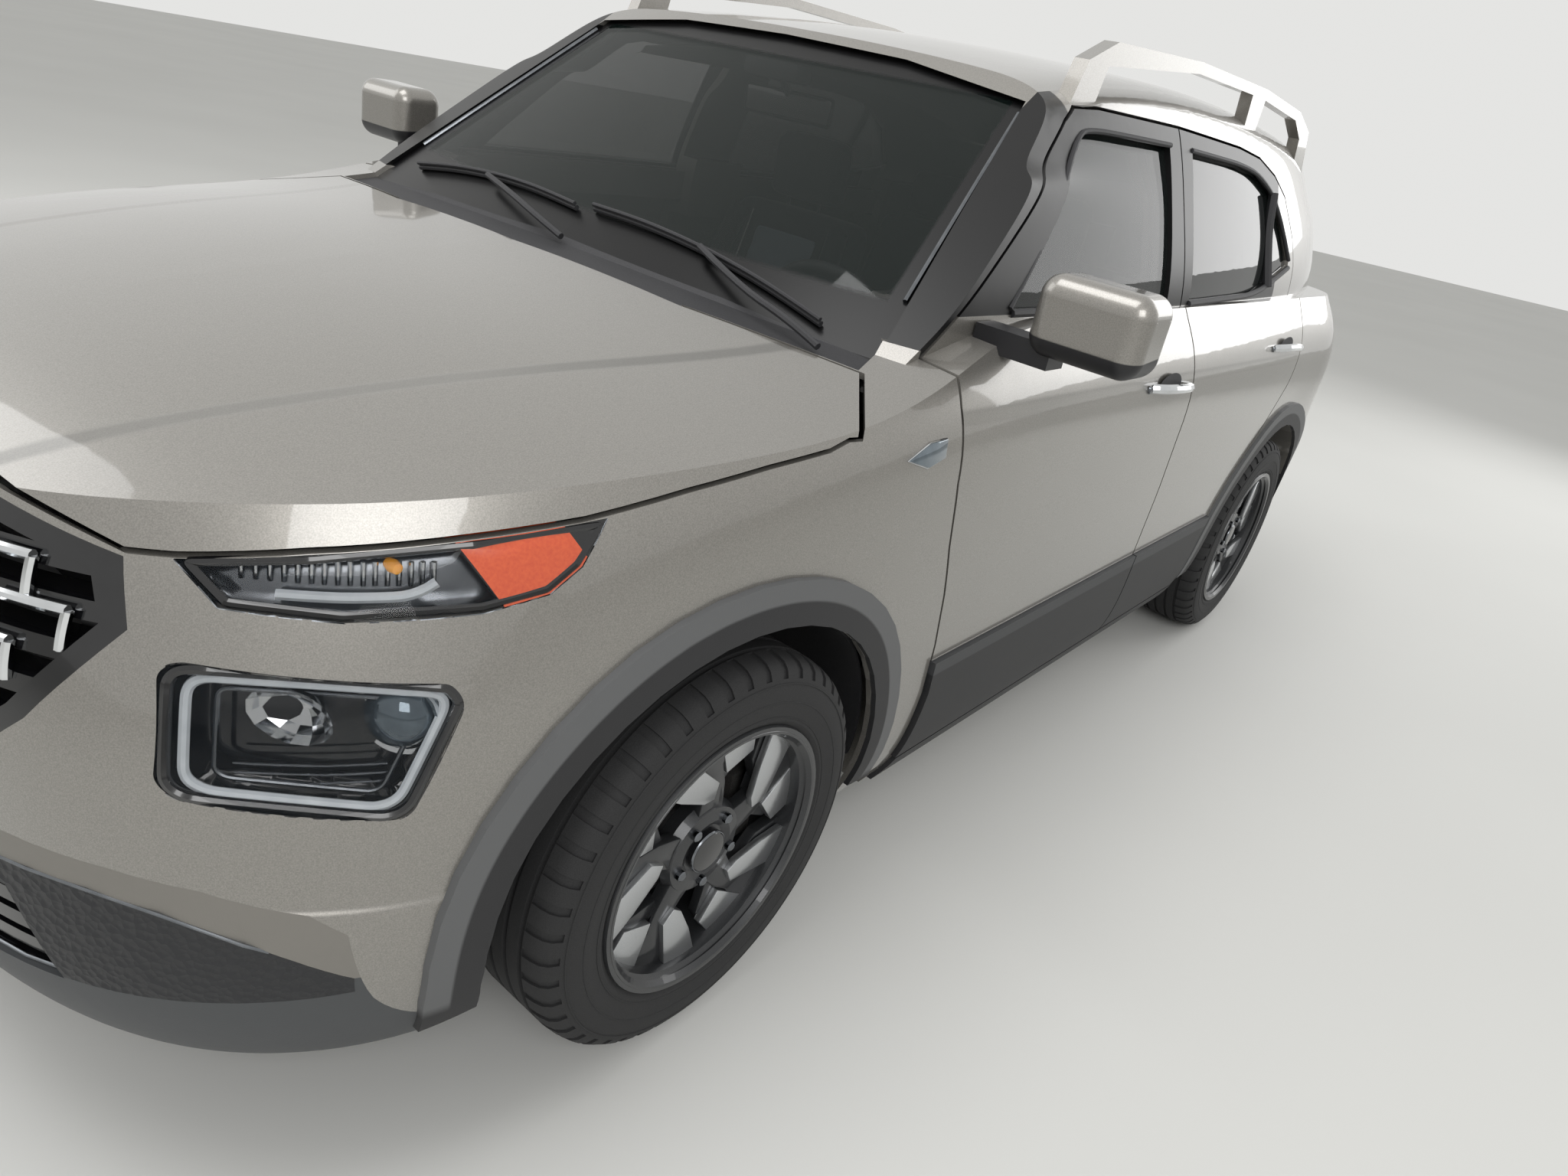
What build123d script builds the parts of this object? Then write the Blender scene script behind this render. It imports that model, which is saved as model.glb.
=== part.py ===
"""Subcompact crossover: body shell, doors, bonnet, tailgate, lamps, seats, running gear and wheels.

Frame: +X towards the nose, +Y to the car's left, +Z up, in millimetres. The origin lies on the ground
under the middle of the car. Every panel of the body is cut from one form, the body, which takes an
inset, so that a skin, a wall or a pane is always the space between two insets of it.
"""
import math
import os

from build123d import *

# ---------------------------------------------------------------- driving dimensions
length = 4040.0
wheelbase = 2520.0
front_overhang = 840.0
track = 1540.0
tyre_radius = 328.0
tyre_width = 205.0
rim_radius = 216.0

front_axle_x = length / 2 - front_overhang
rear_axle_x = front_axle_x - wheelbase
wheel_y = track / 2
hub_z = tyre_radius

shut_gap = 6.0
seat_gap = 0.3
skin = 10.0
bonnet_depth = 24.0
door_depth = 80.0
wall_depth = 120.0
frame_depth = 40.0
pillar_depth = 62.0
pane = 5.0
arch_radius = 388.0
cladding_width = 70.0
cladding_proud = 10.0
sill_top_z = 380.0
belt_z = 1090.0

lowest_z = 190.0
# Height, half width, nose, power of the nose's curve, and tail of the hull's level outlines.
hull_levels = [
    (120.0, 742.0, 1876.0, 9.5, 1878.0),
    (lowest_z, 790.0, 1940.0, 9.0, 1945.0),
    (260.0, 826.0, 1990.0, 8.5, 1998.0),
    (400.0, 852.0, 2014.0, 7.5, 2018.0),
    (560.0, 860.0, 2020.0, 6.5, 2020.0),
    (700.0, 866.0, 2010.0, 5.4, 2005.0),
    (830.0, 868.0, 1985.0, 4.3, 1992.0),
    (920.0, 864.0, 1950.0, 3.6, 1980.0),
    (990.0, 846.0, 1890.0, 3.1, 1967.0),
    (1050.0, 815.0, 1810.0, 2.8, 1952.0),
    (1120.0, 776.0, 1700.0, 2.6, 1932.0),
]
nose_start_x, nose_corner = 350.0, 2.35
tail_start_x, tail_power, tail_corner = -500.0, 14.0, 2.6

# Station, height on the centre line, and drop at the edge, of the deck: bonnet, then belt.
deck_edge_y = 900.0
deck_stations = [
    (2080.0, 795.0, 78.0),
    (1960.0, 866.0, 78.0),
    (1850.0, 908.0, 78.0),
    (1600.0, 962.0, 78.0),
    (1300.0, 1002.0, 76.0),
    (1000.0, 1030.0, 70.0),
    (750.0, 1062.0, 45.0),
    (500.0, 1088.0, 12.0),
    (150.0, 1092.0, 2.0),
    (-200.0, 1092.0, 2.0),
    (-600.0, 1092.0, 2.0),
    (-1000.0, 1092.0, 2.0),
    (-1400.0, 1092.0, 2.0),
    (-1800.0, 1092.0, 2.0),
    (-2100.0, 1092.0, 2.0),
]

# Station, roof height and half width at the belt of the cabin's cross-sections.
cabin_stations = [
    (1050.0, 1385.0, 728.0),
    (500.0, 1445.0, 760.0),
    (100.0, 1503.0, 774.0),
    (-400.0, 1545.0, 777.0),
    (-900.0, 1548.0, 768.0),
    (-1400.0, 1525.0, 744.0),
    (-1750.0, 1490.0, 692.0),
    (-2080.0, 1440.0, 610.0),
]
cabin_floor_z = 975.0

screen_x, screen_z, screen_slope, screen_bow = 934.0, 1000.0, 1.353, 110.0
backlight_x, backlight_z, backlight_slope, backlight_bow = -1775.0, 1480.0, 0.36, 110.0
bow_y = 730.0


# ---------------------------------------------------------------- the body form
def outline_points(half_width, nose, nose_power, tail, inset):
    """Half of a level outline, nose to tail: straight sides whose ends are superellipses."""
    width = half_width - inset
    nose_reach = nose - inset - nose_start_x
    tail_reach = tail - inset + tail_start_x
    points = [(nose_start_x + nose_reach * t, width * (1 - t ** nose_power) ** (1 / nose_corner))
              for t in (1.0, 0.98, 0.92, 0.81, 0.65, 0.4, 0.0)]
    points += [(x, width) for x in (-75.0,)]
    points += [(tail_start_x - tail_reach * t, width * (1 - t ** tail_power) ** (1 / tail_corner))
               for t in (0.0, 0.4, 0.68, 0.86, 0.95, 0.99, 1.0)]
    return points


def chord_shares(points):
    """How far along its chords each point lies, from 0 to 1."""
    run = [0.0]
    for first, second in zip(points, points[1:]):
        run.append(run[-1] + math.dist(first, second))
    return [step / run[-1] for step in run]


def matched_curve(points, ways, shares):
    """A curve through the points, each at its share of the curve, so that lofted curves match."""
    length = sum(math.dist(first, second) for first, second in zip(points, points[1:]))
    add(Edge.make_spline([Vector(*point) for point in points],
                         tangents=[Vector(*way) * length for way in ways],
                         parameters=shares, scale=False))


def cabin_side(width, height, floor):
    """Half of the cabin's cross-section, from its floor up to the middle of the roof."""
    return [(width, floor), (width, belt_z - 10), (width - 24, 1190), (width - 60, 1290),
            (width - 112, height - 120), (width - 150, height - 62), (width - 215, height - 30),
            (width - 330, height - 14), (0, height)]


outline_shares = chord_shares(outline_points(860, 2020, 6.5, 2020, 0))
cabin_shares = chord_shares(cabin_side(770, 1540, cabin_floor_z))


def body_form(inset):
    """The left half of all that lies inside the car's skin, set in by the inset.

    It goes past the middle plane, and an inner form goes further past it and lower than an outer
    one, so that no two forms share a flat face.
    """
    past = -20.0 - inset
    bottom = lowest_z - inset / 2
    floor = cabin_floor_z - inset / 2
    with BuildPart() as hull:
        for height, half_width, nose, nose_power, tail in hull_levels:
            with BuildSketch(Plane.XY.offset(height)):
                with BuildLine():
                    points = outline_points(half_width, nose, nose_power, tail, inset)
                    matched_curve(points, [(0, 1, 0), (0, -1, 0)], outline_shares)
                    Polyline(points[-1], (points[-1][0], past), (points[0][0], past), points[0])
                make_face()
        loft()
    with BuildPart() as deck:
        for x, height, drop in deck_stations:
            with BuildSketch(Plane.YZ.offset(x)):
                with BuildLine():
                    crown = [(y, height - inset - drop * (y / deck_edge_y) ** 2)
                             for y in (-200.0, 400.0, deck_edge_y)]
                    ThreePointArc(*crown)
                    Polyline(crown[2], (deck_edge_y, bottom), (-200, bottom), crown[0])
                make_face()
        loft()
    with BuildPart() as cabin:
        for x, height, width in cabin_stations:
            with BuildSketch(Plane.YZ.offset(x)):
                with BuildLine():
                    side = cabin_side(width - inset, height - inset, floor)
                    matched_curve(side, [(0, 1, 0), (-1, 0, 0)], cabin_shares)
                    Polyline(side[-1], (past, side[-1][1]), (past, floor), side[0])
                make_face()
        loft()
    with BuildPart() as screens:
        for height in (floor - 20, 1640.0):
            front = screen_x - screen_slope * (height - screen_z)
            front -= inset * math.hypot(1, screen_slope)
            rear = backlight_x + backlight_slope * (height - backlight_z)
            rear += inset * math.hypot(1, backlight_slope)
            rows = [-200.0, 400.0, deck_edge_y]
            with BuildSketch(Plane.XY.offset(height)):
                with BuildLine():
                    glass = [(front - screen_bow * (y / bow_y) ** 2, y) for y in rows]
                    gate = [(rear + backlight_bow * (y / bow_y) ** 2, y) for y in rows]
                    ThreePointArc(*glass)
                    Line(glass[2], gate[2])
                    ThreePointArc(gate[2], gate[1], gate[0])
                    Line(gate[0], glass[0])
                make_face()
        loft(ruled=True)
    with BuildPart() as upper:
        add(cabin.part)
        add(screens.part, mode=Mode.INTERSECT)
    with BuildPart() as form:
        add(hull.part)
        add(deck.part, mode=Mode.INTERSECT)
        add(upper.part)
    return form.part


# ---------------------------------------------------------------- cutting blocks
reach_y = 1000.0


def side_block(points, low_y=150.0, radius=0.0):
    """A block across the car's left side, whose outline is drawn in side view (x, z)."""
    with BuildPart() as block:
        with BuildSketch(Plane.XZ.offset(-low_y)) as outline:
            with BuildLine():
                Polyline(*points, close=True)
            make_face()
            if radius:
                fillet(outline.vertices(), radius)
        extrude(amount=-(reach_y - low_y))
    return block.part


def front_block(points, low_x=1000.0, high_x=2100.0):
    """A block along the car whose left half is drawn in front view (y, z), symmetric in y."""
    mirrored = [(-y, z) for y, z in reversed(points) if y > 0]
    with BuildPart() as block:
        with BuildSketch(Plane.YZ.offset(low_x)):
            with BuildLine():
                Polyline(*points, *mirrored, close=True)
            make_face()
        extrude(amount=high_x - low_x)
    return block.part


def corner_block(points, low_x=1000.0, high_x=2100.0, radius=0.0):
    """A block along the car whose outline is drawn in front view (y, z) on the left side only."""
    with BuildPart() as block:
        with BuildSketch(Plane.YZ.offset(low_x)) as outline:
            with BuildLine():
                Polyline(*points, close=True)
            make_face()
            if radius:
                fillet(outline.vertices(), radius)
        extrude(amount=high_x - low_x)
    return block.part


def box_block(low, high):
    with BuildPart() as block:
        with Locations([tuple((a + b) / 2 for a, b in zip(low, high))]):
            Box(*(b - a for a, b in zip(low, high)))
    return block.part


def grown(points, by):
    """An outline set out by a distance, or in where it is negative."""
    with BuildSketch() as sketch:
        with BuildLine():
            Polyline(*points, close=True)
        make_face()
        offset(amount=by, kind=Kind.INTERSECTION)
    corners = sketch.face().outer_wire().order_edges()
    return [tuple(edge.position_at(0))[:2] for edge in corners]


def arc_points(centre, radius, first, last, steps):
    angles = [math.radians(first + (last - first) * step / steps) for step in range(steps + 1)]
    return [(centre[0] + radius * math.cos(a), centre[1] + radius * math.sin(a)) for a in angles]


outer = body_form(0)
proud = body_form(-cladding_proud)
under_skin = body_form(skin)
under_pane = body_form(skin + pane)
under_bonnet = body_form(bonnet_depth)
door_lower = body_form(door_depth)
door_upper = body_form(frame_depth)
pocket_lower = body_form(door_depth + shut_gap)
pocket_upper = body_form(frame_depth + shut_gap)
pad_lower = body_form(door_depth + shut_gap - seat_gap)
wall_lower = body_form(wall_depth)
wall_upper = body_form(pillar_depth)


def stacked(lower, upper, split_z):
    """One inset below a height and another above it."""
    with BuildPart() as under:
        add(lower)
        add(box_block((-2200, -reach_y, -200), (2200, reach_y, split_z)), mode=Mode.INTERSECT)
    with BuildPart() as over:
        add(upper)
        add(box_block((-2200, -reach_y, split_z), (2200, reach_y, 1700)), mode=Mode.INTERSECT)
    with BuildPart() as both:
        add(under.part)
        add(over.part)
    return both.part


door_inner = stacked(door_lower, door_upper, belt_z)
pocket_inner = stacked(pocket_lower, pocket_upper, belt_z)
wall_inner = stacked(wall_lower, wall_upper, belt_z + 40)


def wall_in(form, inner, block):
    """The wall between two insets of the body, inside a block."""
    with BuildPart() as wall:
        add(form)
        add(block, mode=Mode.INTERSECT)
        add(inner, mode=Mode.SUBTRACT)
    return wall.part


# ---------------------------------------------------------------- outlines in side view (x, z)
front_arch = (front_axle_x, hub_z)
rear_arch = (rear_axle_x, hub_z)
door_foot_z = 262.0

door_front_outline = [
    (628, door_foot_z), (622, 420), (640, 530), (672, 640), (708, 740), (742, 860), (754, 980),
    (750, 1030), (690, 1075), (240, 1404), (190, 1430), (100, 1438), (-264, 1442),
    (-340, door_foot_z),
]
door_rear_outline = [
    (-340 - shut_gap, door_foot_z), (-264 - shut_gap, 1442),
    (-700, 1436), (-882, 1425), (-1040, 1392), (-1158, 1345),
    (-1262, 1240), (-1290, 1170), (-1275, 1085), (-1240, 980), (-1185, 860), (-1110, 765),
    *arc_points(rear_arch, 482, 57, 10, 4), (-866, door_foot_z),
]
front_window = [(505, 1100), (205, 1385), (150, 1398), (-205, 1402), (-198, 1100)]
rear_window = [(-342, 1100), (-338, 1402), (-700, 1398), (-880, 1386), (-1090, 1318), (-1218, 1185),
               (-1216, 1172), (-860, 1106)]
front_opening = [(560, sill_top_z), (575, 560), (630, 740), (660, 1000), (195, 1360), (150, 1372),
                 (-185, 1378), (-170, 1000), (-200, 800), (-225, sill_top_z)]
rear_opening = [(-430, sill_top_z), (-420, 600), (-375, 1000), (-370, 1376), (-700, 1372),
                (-870, 1360), (-1060, 1296), (-1170, 1180), (-1130, 960), (-1030, 850), (-900, 760),
                (-800, 640), (-770, 500), (-770, sill_top_z)]

bonnet_side = [(1905, 1200), (1900, 892), (1878, 880), (1826, 850), (1794, 853), (1700, 869),
               (1560, 887), (1440, 901), (1305, 924), (1180, 941), (1070, 952), (1030, 962),
               (860, 955), (860, 1200)]
bumper_joint = [(1531, 790), (1470, 755), (1397, 690), (1300, 600)]

# ---------------------------------------------------------------- doors
def door_solid(outline, window, hinge_x):
    block = side_block(outline, low_y=582)
    with BuildPart() as low_skin:
        add(proud)
        add(block, mode=Mode.INTERSECT)
        add(box_block((-1500, 0, 0), (1500, reach_y, 490)), mode=Mode.INTERSECT)
    with BuildPart() as pads:
        add(box_block((hinge_x - 64, 500, 440), (hinge_x - 14, reach_y, 500)))
        add(box_block((hinge_x - 64, 500, 840), (hinge_x - 14, reach_y, 900)))
        add(block, mode=Mode.INTERSECT)
        add(outer, mode=Mode.INTERSECT)
        add(pad_lower, mode=Mode.SUBTRACT)
    with BuildPart() as door:
        add(outer)
        add(block, mode=Mode.INTERSECT)
        add(low_skin.part)
        add(door_inner, mode=Mode.SUBTRACT)
        add(side_block(window), mode=Mode.SUBTRACT)
        add(pads.part)
    return door.part


def glass_solid(window):
    return wall_in(under_skin, under_pane, side_block(grown(window, -seat_gap), low_y=400))


door_front = door_solid(door_front_outline, front_window, 700)
door_rear = door_solid(door_rear_outline, rear_window, -350)
glass_front = glass_solid(front_window)
glass_rear = glass_solid(rear_window)

# ---------------------------------------------------------------- bonnet, fender and cowl
def bonnet_zone(gap):
    """The block that the bonnet is cut with, set out by a gap all round."""
    side = [(x + gap if x > 1870 else x, z - gap) for x, z in bonnet_side]
    plan = [(2200, -50), (2200, 900), (1036, 900), (1030 - gap, 848 + gap), (872 - gap, 722 + gap),
            (938 - gap, 400), (962 - gap, -50)]
    with BuildPart() as zone:
        with BuildSketch(Plane.XY.offset(700)):
            with BuildLine():
                Polyline(*plan, close=True)
            make_face()
        extrude(amount=500)
        add(side_block(side, low_y=-100), mode=Mode.INTERSECT)
    return zone.part


bonnet_half = bonnet_zone(0)
around_bonnet = bonnet_zone(shut_gap)
fender_outline = [
    *bumper_joint, (1300, 300), (front_axle_x, 200), (628 + shut_gap, 250),
    (624 + shut_gap, 420), (640 + shut_gap, 530), (672 + shut_gap, 640), (708 + shut_gap, 740),
    (742 + shut_gap, 860), (754 + shut_gap, 980), (757, 1042), (1100, 1042),
    (1440, 905), (1480, 850),
]
front_arch_block = side_block(arc_points(front_arch, arch_radius, 0, 350, 35), low_y=440)
rear_arch_block = side_block(arc_points(rear_arch, arch_radius, 0, 350, 35), low_y=620)

with BuildPart() as bonnet_left:
    add(outer)
    add(bonnet_half, mode=Mode.INTERSECT)
    add(under_bonnet, mode=Mode.SUBTRACT)

# The strip of deck between the bonnet and the windscreen, and the windscreen's own block.
screen_block = front_block([(0, 1046), (400, 1034), (708, 1012), (572, 1424), (300, 1456), (0, 1462)],
                           low_x=150, high_x=1200)
cowl_edge = [(700, -50), (700, 560), (772, 690), (872 - shut_gap, 716), (938 - shut_gap, 400),
             (962 - shut_gap, -50)]
with BuildPart() as cowl_zone:
    with BuildSketch(Plane.XY.offset(950)):
        with BuildLine():
            Polyline(*cowl_edge, close=True)
        make_face()
    extrude(amount=160)

upper_lamp_outline = [(1796, 846), (1700, 862), (1560, 880), (1440, 894), (1416, 897),
                      (1452, 848), (1491, 821), (1562, 806), (1686, 799), (1776, 806)]
upper_lamp_block = side_block(upper_lamp_outline, low_y=440)
around_upper_lamp = side_block(grown(upper_lamp_outline, seat_gap), low_y=440)

fender_zone = side_block(fender_outline, low_y=300)
with BuildPart() as fender_left:
    add(wall_in(outer, under_skin, fender_zone))
    add(around_bonnet, mode=Mode.SUBTRACT)
    add(cowl_zone.part, mode=Mode.SUBTRACT)
    add(front_arch_block, mode=Mode.SUBTRACT)
    add(around_upper_lamp, mode=Mode.SUBTRACT)

with BuildPart() as cowl_left:
    add(under_skin)
    add(cowl_zone.part, mode=Mode.INTERSECT)
    add(box_block((500, -reach_y, 0), (1000, reach_y, belt_z)), mode=Mode.INTERSECT)
    add(under_bonnet, mode=Mode.SUBTRACT)
    add(screen_block, mode=Mode.SUBTRACT)

# ---------------------------------------------------------------- body sides, roof and glass
side_outline = [(660, 190), (660, 600), (700, 700), (760, 900), (780, 1000), (780, 1600),
                (-1742, 1600), (-2100, 1600), (-2100, 652), (-1740, 652), (-1700, 560),
                (-1650, 190)]


def gate_plan(gap):
    """All that lies behind the line where the roof ends, which is bowed as the rear window is."""
    with BuildPart() as plan:
        with BuildSketch():
            with BuildLine():
                Polyline((-2200, -200), (-1748 + gap, -200), (-1748 + gap, 60), (-1738 + gap, 230),
                         (-1714 + gap, 400), (-1676 + gap, 560), (-1640 + gap, 680), (-2200, 680),
                         close=True)
            make_face()
        extrude(amount=1700)
    return plan.part


def tailgate_zone(gap):
    """The block that the tailgate is cut with, set out by a gap."""
    with BuildPart() as zone:
        add(front_block([(0, 1600), (560 + gap, 1600), (572 + gap, 1400), (606 + gap, 1095),
                         (596 + gap, 900), (560 + gap, 652 - gap), (0, 652 - gap)],
                        low_x=-2200, high_x=-1500))
        add(gate_plan(gap), mode=Mode.INTERSECT)
    return zone.part


tailgate_half = tailgate_zone(0)
around_tailgate = tailgate_zone(shut_gap)
tail_window_block = front_block([(0, 1118), (522, 1118), (488, 1412), (0, 1428)],
                                low_x=-2200, high_x=-1500)
tail_window_glass = front_block([(0, 1118 + seat_gap), (521.9 - seat_gap, 1118 + seat_gap),
                                 (488 - seat_gap, 1412 - seat_gap), (0, 1428 - seat_gap)],
                                low_x=-2200, high_x=-1500)
tail_lamp_outline = [(-1790, 905), (-1790, 1035), (-1850, 1075), (-2100, 1075), (-2100, 860),
                     (-1860, 860)]
tail_lamp_block = side_block(tail_lamp_outline, low_y=500)
with BuildPart() as roof_zone:
    add(box_block((-1800, -900, 1300), (600, 576, 1700)))
    add(gate_plan(shut_gap), mode=Mode.SUBTRACT)
roof_block = roof_zone.part

with BuildPart() as side_wall:
    add(outer)
    add(side_block(side_outline), mode=Mode.INTERSECT)
    add(wall_inner, mode=Mode.SUBTRACT)

with BuildPart() as door_pockets:
    add(side_block(grown(door_front_outline, shut_gap)))
    add(side_block(grown(door_rear_outline, shut_gap)))
    add(pocket_inner, mode=Mode.SUBTRACT)

with BuildPart() as fender_pocket:
    add(fender_zone)
    add(side_block([(620, 250), (620, 640), (760, 1040), (1200, 1040), (1200, 250)], low_y=300))
    add(under_bonnet, mode=Mode.SUBTRACT)

# The front door's inner corner swings back through this space, ahead of the dashboard's end.
hinge_room = box_block((585, 590, 940), (752, 790, 1024))

with BuildPart() as body_side_left:
    add(side_wall.part)
    add(door_pockets.part, mode=Mode.SUBTRACT)
    add(side_block(front_opening), mode=Mode.SUBTRACT)
    add(side_block(rear_opening), mode=Mode.SUBTRACT)
    add(rear_arch_block, mode=Mode.SUBTRACT)
    add(fender_pocket.part, mode=Mode.SUBTRACT)
    add(around_bonnet, mode=Mode.SUBTRACT)
    add(cowl_zone.part, mode=Mode.SUBTRACT)
    add(screen_block, mode=Mode.SUBTRACT)
    add(roof_block, mode=Mode.SUBTRACT)
    add(around_tailgate, mode=Mode.SUBTRACT)
    add(tail_lamp_block, mode=Mode.SUBTRACT)
    add(box_block((600, -900, 930), (790, 640, 1100)), mode=Mode.SUBTRACT)
    add(hinge_room, mode=Mode.SUBTRACT)

body_side_left = body_side_left.part.solids().sort_by(SortBy.VOLUME)[-1]

with BuildPart() as roof_left:
    add(outer)
    add(roof_block, mode=Mode.INTERSECT)
    add(under_bonnet, mode=Mode.SUBTRACT)
    add(screen_block, mode=Mode.SUBTRACT)
    add(around_tailgate, mode=Mode.SUBTRACT)

windscreen_left = wall_in(under_skin, under_pane, screen_block)

# The tailgate turns on a short pin behind the edge of the roof.
gate_hinge_x, gate_hinge_z, gate_pin_radius = -1746.0, 1490.0, 3.7
with BuildPart() as tailgate_left:
    add(outer)
    add(tailgate_half, mode=Mode.INTERSECT)
    add(wall_upper, mode=Mode.SUBTRACT)
    add(tail_window_block, mode=Mode.SUBTRACT)
    with BuildSketch(Plane.XZ.offset(20)):
        with Locations((gate_hinge_x, gate_hinge_z)):
            Circle(gate_pin_radius)
    extrude(amount=-70)

tail_glass_left = wall_in(under_skin, under_pane, tail_window_glass)

with BuildPart() as tail_lamp_left:
    add(wall_in(outer, door_lower, tail_lamp_block))
    add(around_tailgate, mode=Mode.SUBTRACT)

# ---------------------------------------------------------------- nose: bumper, grille and lamps
grille_outline = [(0, 887), (396, 876), (549, 841), (573, 773), (512, 664), (430, 575), (395, 558),
                  (0, 552)]
grille_mouth = [(0, 868), (390, 857), (528, 826), (550, 774), (492, 674), (414, 592), (386, 578),
                (0, 573)]
intake_outline = [(0, 446), (480, 440), (540, 330), (0, 300)]
valance_outline = [(0, 524), (420, 521), (598, 511), (670, 498), (741, 466), (763, 434),
                   (776, 330), (790, 255), (830, 180), (0, 180)]
grille_block = front_block(grille_outline, low_x=1500)
intake_block = front_block(intake_outline, low_x=1500)
valance_block = front_block(valance_outline, low_x=1560)
headlamp_outline = [(1826, 750), (1580, 730), (1655, 580), (1852, 612)]
headlamp_block = side_block(headlamp_outline, low_y=524, radius=24)
around_headlamp = side_block(grown(headlamp_outline, seat_gap), low_y=524 - seat_gap, radius=24)

with BuildPart() as bumper_zone:
    add(side_block([(1300, 185), (1300, 600), *bumper_joint[2:0:-1], (1531, 790), (1480, 844),
                    (1440, 899), (2100, 899), (2100, 185)], low_y=-100))
    add(fender_zone, mode=Mode.SUBTRACT)
    add(around_bonnet, mode=Mode.SUBTRACT)

with BuildPart() as front_bumper_left:
    add(wall_in(outer, under_skin, bumper_zone.part))
    add(front_arch_block, mode=Mode.SUBTRACT)
    add(grille_block, mode=Mode.SUBTRACT)
    add(headlamp_block, mode=Mode.SUBTRACT)
    add(around_upper_lamp, mode=Mode.SUBTRACT)
    add(valance_block, mode=Mode.SUBTRACT)

with BuildPart() as front_valance_left:
    add(wall_in(outer, under_skin, valance_block))
    add(intake_block, mode=Mode.SUBTRACT)

with BuildPart() as upper_lamp_left:
    add(wall_in(outer, door_upper, upper_lamp_block))
    add(around_bonnet, mode=Mode.SUBTRACT)

headlamp_left = wall_in(outer, door_lower, headlamp_block)


def barred(outline_block, bar_heights, high_z):
    """Slats across an opening, set back from the skin, with an upright in the middle."""
    with BuildPart() as fill:
        add(wall_in(under_skin, door_upper, outline_block))
        add(around_bonnet, mode=Mode.SUBTRACT)
    with BuildPart() as bars:
        with Locations([(1900, 270, z) for z in bar_heights]):
            Box(500, 620, 20)
        with Locations([(1900, 0, high_z / 2)]):
            Box(500, 44, high_z)
        add(fill.part, mode=Mode.INTERSECT)
    return bars.part


with BuildPart() as grille_ring:
    add(wall_in(outer, under_bonnet, grille_block))
    add(around_bonnet, mode=Mode.SUBTRACT)
    add(front_block(grille_mouth, low_x=1500), mode=Mode.SUBTRACT)

with BuildPart() as grille_bars:
    add(barred(grille_block, [602, 646, 690, 734, 778, 822], 2000))
    add(grille_ring.part)
    add(barred(intake_block, [322, 352, 382, 412, 440], 1000))
    add(around_upper_lamp, mode=Mode.SUBTRACT)
    add(around_headlamp, mode=Mode.SUBTRACT)

# ---------------------------------------------------------------- rear bumper, trims, rails, wipers
with BuildPart() as rear_bumper_left:
    add(wall_in(outer, under_skin, side_block(
        [(-1650 - shut_gap, 185), (-1700 - shut_gap, 560), (-1740 - shut_gap, 646),
         (-2100, 646), (-2100, 185)], low_y=-100)))
    add(rear_arch_block, mode=Mode.SUBTRACT)
    add(around_tailgate, mode=Mode.SUBTRACT)


def arch_trim(centre, first, last):
    """A band of cladding round a wheel arch, proud of the body side."""
    inside = arc_points(centre, arch_radius, first, last, 24)
    outside = arc_points(centre, arch_radius + cladding_width, last, first, 24)
    return wall_in(proud, outer, side_block([*inside, *outside], low_y=600))


sill_trim = wall_in(proud, outer, side_block(
    [(-880, 190), (-880, 256), (618, 256), (640, 190)], low_y=600))

with BuildPart() as trims_left:
    add(arch_trim(front_arch, -12, 188))
    add(arch_trim(rear_arch, -6, 190))
    add(sill_trim)

rail_y = 596.0
with BuildPart() as rail_left:
    with BuildSketch(Plane.XZ.offset(-(rail_y - 16))):
        with BuildLine():
            Polyline((205, 1420), (165, 1516), (60, 1560), (-400, 1586), (-900, 1588),
                     (-1250, 1570), (-1400, 1530), (-1480, 1420), close=True)
        make_face()
        with BuildLine():
            Polyline((100, 1420), (76, 1516), (-400, 1562), (-800, 1564), (-830, 1420), close=True)
        make_face(mode=Mode.SUBTRACT)
        with BuildLine():
            Polyline((-910, 1420), (-910, 1563), (-1230, 1546), (-1330, 1505), (-1370, 1420),
                     close=True)
        make_face(mode=Mode.SUBTRACT)
    extrude(amount=-32)
    add(outer, mode=Mode.SUBTRACT)


# ---------------------------------------------------------------- structure under the skin
with BuildPart() as floor_left:
    add(wall_lower)
    add(box_block((-980, -10, 232), (759, 900, 250)), mode=Mode.INTERSECT)
with BuildPart() as rear_floor_left:
    add(wall_lower)
    add(box_block((-1890, -10, 500), (-960, 900, 516)), mode=Mode.INTERSECT)
with BuildPart() as rear_housing:
    with BuildSketch(Plane.XZ.offset(-594)):
        with Locations(rear_arch):
            Circle(arch_radius + 6)
    extrude(amount=-200)
    with BuildSketch(Plane.XZ.offset(-600)):
        with Locations(rear_arch):
            Circle(arch_radius)
    extrude(amount=-300, mode=Mode.SUBTRACT)
    add(wall_lower, mode=Mode.INTERSECT)
    add(box_block((-2000, 0, 232), (-900, 900, 900)), mode=Mode.INTERSECT)
# Four flat pads under the floor take a jack or a lift.
lift_pad_x = (450.0, -720.0)
with BuildPart() as floor_pan:
    add(floor_left.part)
    add(rear_floor_left.part)
    add(box_block((-980, 0, 232), (-960, 590, 516)))
    add(rear_housing.part)
    add(box_block((-980, 0, 232), (759, 108, 358)))
    add(box_block((-2000, -200, 100), (900, 98, 348)), mode=Mode.SUBTRACT)
    add(side_block(arc_points(rear_arch, arch_radius, 0, 350, 35), low_y=600), mode=Mode.SUBTRACT)
    add(side_block(arc_points(rear_arch, 60, 0, 350, 35), low_y=560), mode=Mode.SUBTRACT)
    for pad_x in lift_pad_x:
        add(box_block((pad_x - 40, 570, 224), (pad_x + 40, 630, 236)))
    mirror(about=Plane.XZ)

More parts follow.
